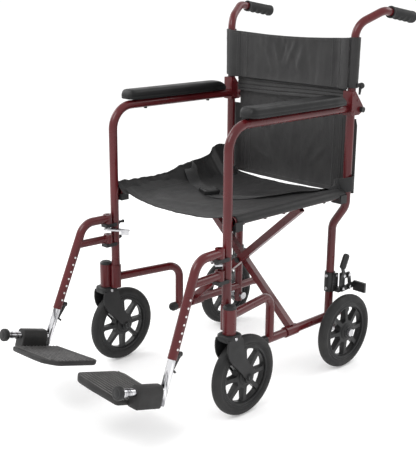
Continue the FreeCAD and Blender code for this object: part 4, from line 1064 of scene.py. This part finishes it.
def hang_between(thing, body):
    """Attaches a piece to a body and gives it a mesh of its own."""
    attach(thing, body)
    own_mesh(thing)


def add_back_seams(name, surface, half, body, low, high, hems):
    """Stitch lines and raised welts down both sides of a panel, and stitches along its hems."""
    bm = bmesh.new()
    for x in SEAM_LINES:
        for u in (0.5 + x / (2 * half), 0.5 - x / (2 * half)):
            add_seam(bm, seam_on(surface, u, low, u, high, 60, FORWARD * 0.9), FORWARD)
    for v in hems:
        add_seam(bm, seam_on(surface, 0.04, v, 0.96, v, 160, FORWARD * 0.9), FORWARD)
    hang_between(piece(name + "_stitches", bm, "thread"), body)
    bm = bmesh.new()
    for x in WELT_LINES:
        for u in (0.5 + x / (2 * half), 0.5 - x / (2 * half)):
            sweep(bm, seam_on(surface, u, low, u, high, 40, FORWARD * 0.8), strap_section(3.4, 2), X_AXIS)
    hang_between(piece(name + "_welts", bm, "nylon", crease=50), body)


def build_upper_back():
    for side, sign in SIDES:
        wrap = cloth_sheet("back_wrap_" + side, 36, 60, upper_wrap_surface, "nylon", 1.8, sign=sign)
        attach(wrap, "upper_cane_" + side)
    upper = cloth_sheet("back_upper_cloth", 150, 70, upper_middle_surface, "nylon", 1.8)
    hang_between(upper, "upper_cane_left")
    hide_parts("back_panel_upper")
    add_back_seams("back_upper", upper_middle_surface, MIDDLE_HALF, "upper_cane_left",
                   0.03, 0.985, (0.955,))


def build_lower_back():
    top = cloth_sheet("back_lower_top", 130, 34, lower_top_surface, "nylon", 1.8)
    hang_between(top, "left_frame")
    lower = cloth_sheet("back_lower_cloth", 150, 90, lower_back_surface, "nylon", 1.8)
    hang_between(lower, "left_frame")
    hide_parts("back_panel_lower")
    add_back_seams("back_lower", lower_back_surface, LOWER_WIDE, "left_frame", 0.02, 0.99, (0.055,))

    pleats = cloth_sheet("back_pleats", 110, 70, pleat_surface, "nylon", 1.2)
    hang_between(pleats, "left_frame")


build_upper_back()
build_lower_back()


# ---- seat

SEAT_FRONT = 20
SEAT_REAR = 424


def sag(x):
    """Depth of the slung cloth below the top of the rails; it falls more steeply from the right one."""
    reach = min(1, abs(x) / 196)
    return mix(22, 0, reach ** (3.3 if x < 0 else 2.2))


# share of the seat's width that wraps each rail
SEAT_WRAP = 0.07


def seat_surface(u, v):
    """The slung seat, from its turn round one rail to its turn round the other."""
    back = mix(SEAT_FRONT, SEAT_REAR, v)
    reach = min(u, 1 - u)
    if reach < SEAT_WRAP:
        sign = -1 if u < 0.5 else 1
        angle = math.radians(mix(112, -28, 1 - reach / SEAT_WRAP))
        radius = TUBE + 1.4
        return Vector((sign * (UPRIGHT_X + radius * math.cos(angle)), back,
                       SEAT_RAIL_Z + radius * math.sin(angle)))
    share = (u - SEAT_WRAP) / (1 - 2 * SEAT_WRAP)
    x = mix(-1, 1, share) * (UPRIGHT_X - 5)
    top = SEAT_RAIL_Z + TUBE + 0.6
    front_pull = mix(1, 0.86, smoothstep(1 - back / 60))
    rear_pull = mix(1, 0.48, smoothstep((back - 300) / 120))
    depth = sag(x) * front_pull * rear_pull * 1.25
    ripple = 1.3 * wave(x / 55, back / 90, 1.5)
    ripple += 0.6 * wave(x / 18, back / 40, 9)
    ripple += 2 * crease_line(x, back, -150, 60, 60, 140, 14)
    ripple -= 1.6 * crease_line(x, back, 150, 60, -20, 190, 16)
    ripple += 1.5 * crease_line(x, back, -60, 300, 120, 390, 12)
    hem = 0.6 * (smoothstep((back - SEAT_FRONT) / 3) - smoothstep((back - SEAT_FRONT - 20) / 4))
    settle = smoothstep(min(share, 1 - share) / 0.12)
    return Vector((x, back, top - depth + settle * (ripple - 3) + hem))


def hang_on_rails(thing):
    """Bakes a seat piece's placement into its mesh."""
    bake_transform(thing)


def build_seat():
    seat = cloth_sheet("seat_cloth", 150, 130, seat_surface, "seat_nylon", 2.2)
    hang_on_rails(seat)
    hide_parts("seat_sling")
    bm = bmesh.new()
    for v in (0.045, 0.955):
        add_seam(bm, seam_on(seat_surface, 0.075, v, 0.925, v, 160, Z_AXIS * 1.1), Z_AXIS)
    for u in (0.14, 0.86):
        add_seam(bm, seam_on(seat_surface, u, 0.01, u, 0.99, 160, Z_AXIS * 1.1), Z_AXIS)
    hang_on_rails(piece("seat_stitches", bm, "thread"))


def fold_height(back):
    """How far the gathered cloth stands above the right rail, from the front to the rear."""
    profile = ((8, 17), (60, 14), (142, 12), (202, 17), (242, 29), (297, 35), (335, 32), (352, 38),
               (364, 64), (398, 66), (412, 54))
    for (start, low), (finish, high) in zip(profile, profile[1:]):
        if back <= finish:
            return mix(low, high, smoothstep((back - start) / (finish - start)))


def side_fold_surface(u, v):
    """Cloth gathered against the right rail: up its outside, over, and down to the seat."""
    back = mix(8, 410, v)
    height = fold_height(back) + 2.5 * wave(back / 15, 0.4, 6)
    crest = SEAT_RAIL_Z + TUBE + height
    foot = 26 + height * 0.95
    low = SEAT_RAIL_Z + TUBE - 4 - sag(UPRIGHT_X - foot) * 1.25
    if u < 0.35:
        share = u / 0.35
        x = -UPRIGHT_X - 14 + 9 * share ** 1.5
        z = mix(SEAT_RAIL_Z - 2, crest - 2, share)
    else:
        share = (u - 0.35) / 0.65
        x = -UPRIGHT_X - 5 + foot * share
        roll = 2 * math.sin(math.pi * min(1, share * 6))
        z = mix(crest - 2, low, smoothstep(share) ** 0.85) + roll
    ripple = 2.4 * wave(back / 26, u * 3, 3) * math.sin(math.pi * u)
    return Vector((x + ripple, back, z + ripple * 0.6))


def build_side_fold():
    fold = cloth_sheet("seat_side_fold", 44, 130, side_fold_surface, "seat_nylon", 2)
    hang_on_rails(fold)


build_seat()
build_side_fold()


# ---- seat belt


def seat_height(x, back):
    """Top of the seat cloth under a point."""
    share = (x / (UPRIGHT_X - 5) + 1) / 2
    u = mix(SEAT_WRAP, 1 - SEAT_WRAP, min(1, max(0, share)))
    return seat_surface(u, (back - SEAT_FRONT) / (SEAT_REAR - SEAT_FRONT)).z + 1.3


def lay_strap(bm, points, width, flat_hint, upright=0):
    """A strap through given points; it stands on edge for its first share, then lies flat."""
    path = smooth_path([(x, back, z if z is not None else seat_height(x, back) + 1.6)
                        for x, back, z in points], 7)
    hints = [Z_AXIS.lerp(flat_hint, smoothstep((index / (len(path) - 1) - upright) / 0.15))
             for index in range(len(path))]
    sweep(bm, path, strap_section(width, 2.2), hints)


def build_belt():
    bm = bmesh.new()
    loop = [(199, 449, 513), (212, 455, 514), (226, 449, 514), (230, 436, 512), (218, 423, 508),
            (200, 418, 505)]
    lay_strap(bm, loop, 38, Z_AXIS)
    piece("seat_belt_loop", bm, "webbing", "left_frame", crease=40)

    bm = bmesh.new()
    # where no height is given, the strap lies on the seat
    near = [(204, 416, 506), (194, 414, 503), (165, 405, None), (120, 372, None), (70, 326, None),
            (30, 272, None), (-5, 230, None), (-38, 214, None), (-62, 214, None)]
    lay_strap(bm, near, 38, Vector((0.35, 0.94, 0)).normalized(), upright=0.08)
    far = [(-206, 408, 542), (-207, 378, 545), (-207, 354, 524), (-203, 310, 515), (-197, 268, 513),
           (-180, 250, 506), (-156, 244, None), (-128, 238, None), (-100, 228, None)]
    lay_strap(bm, far, 36, Vector((0.3, 0.95, 0)).normalized(), upright=0.45)
    hang_on_rails(piece("seat_belt_cloth", bm, "webbing", replaced="seat_belt", crease=40))

    bm = bmesh.new()
    middle = Vector((-80, 222, seat_height(-80, 222) + 7))
    along = Vector((0.93, -0.36, 0.02)).normalized()
    side_way = Z_AXIS.cross(along).normalized()
    rings = []
    shape = rounded([(-30, -20), (26, -22), (32, -12), (32, 12), (26, 22), (-30, 20)], 7, 4)
    for lift, grow in ((-6, 0.86), (-4.5, 0.97), (3, 1), (5.5, 0.93), (6.5, 0.80)):
        centre = middle + Z_AXIS * lift
        rings.append([centre + (along * p.x + side_way * p.y) * grow for p in shape])
    loft(bm, rings)
    for offset in (-16, 16):
        path = [middle + along * a + side_way * offset + Z_AXIS * 6.4 for a in (-18, 0, 16)]
        sweep(bm, path, rounded([(-3, -1), (3, -1), (3, 1.4), (-3, 1.4)], 1.2, 3), side_way)
    hang_on_rails(piece("belt_buckle_detail", bm, "black_plastic", replaced="belt_buckle", crease=35))


build_belt()
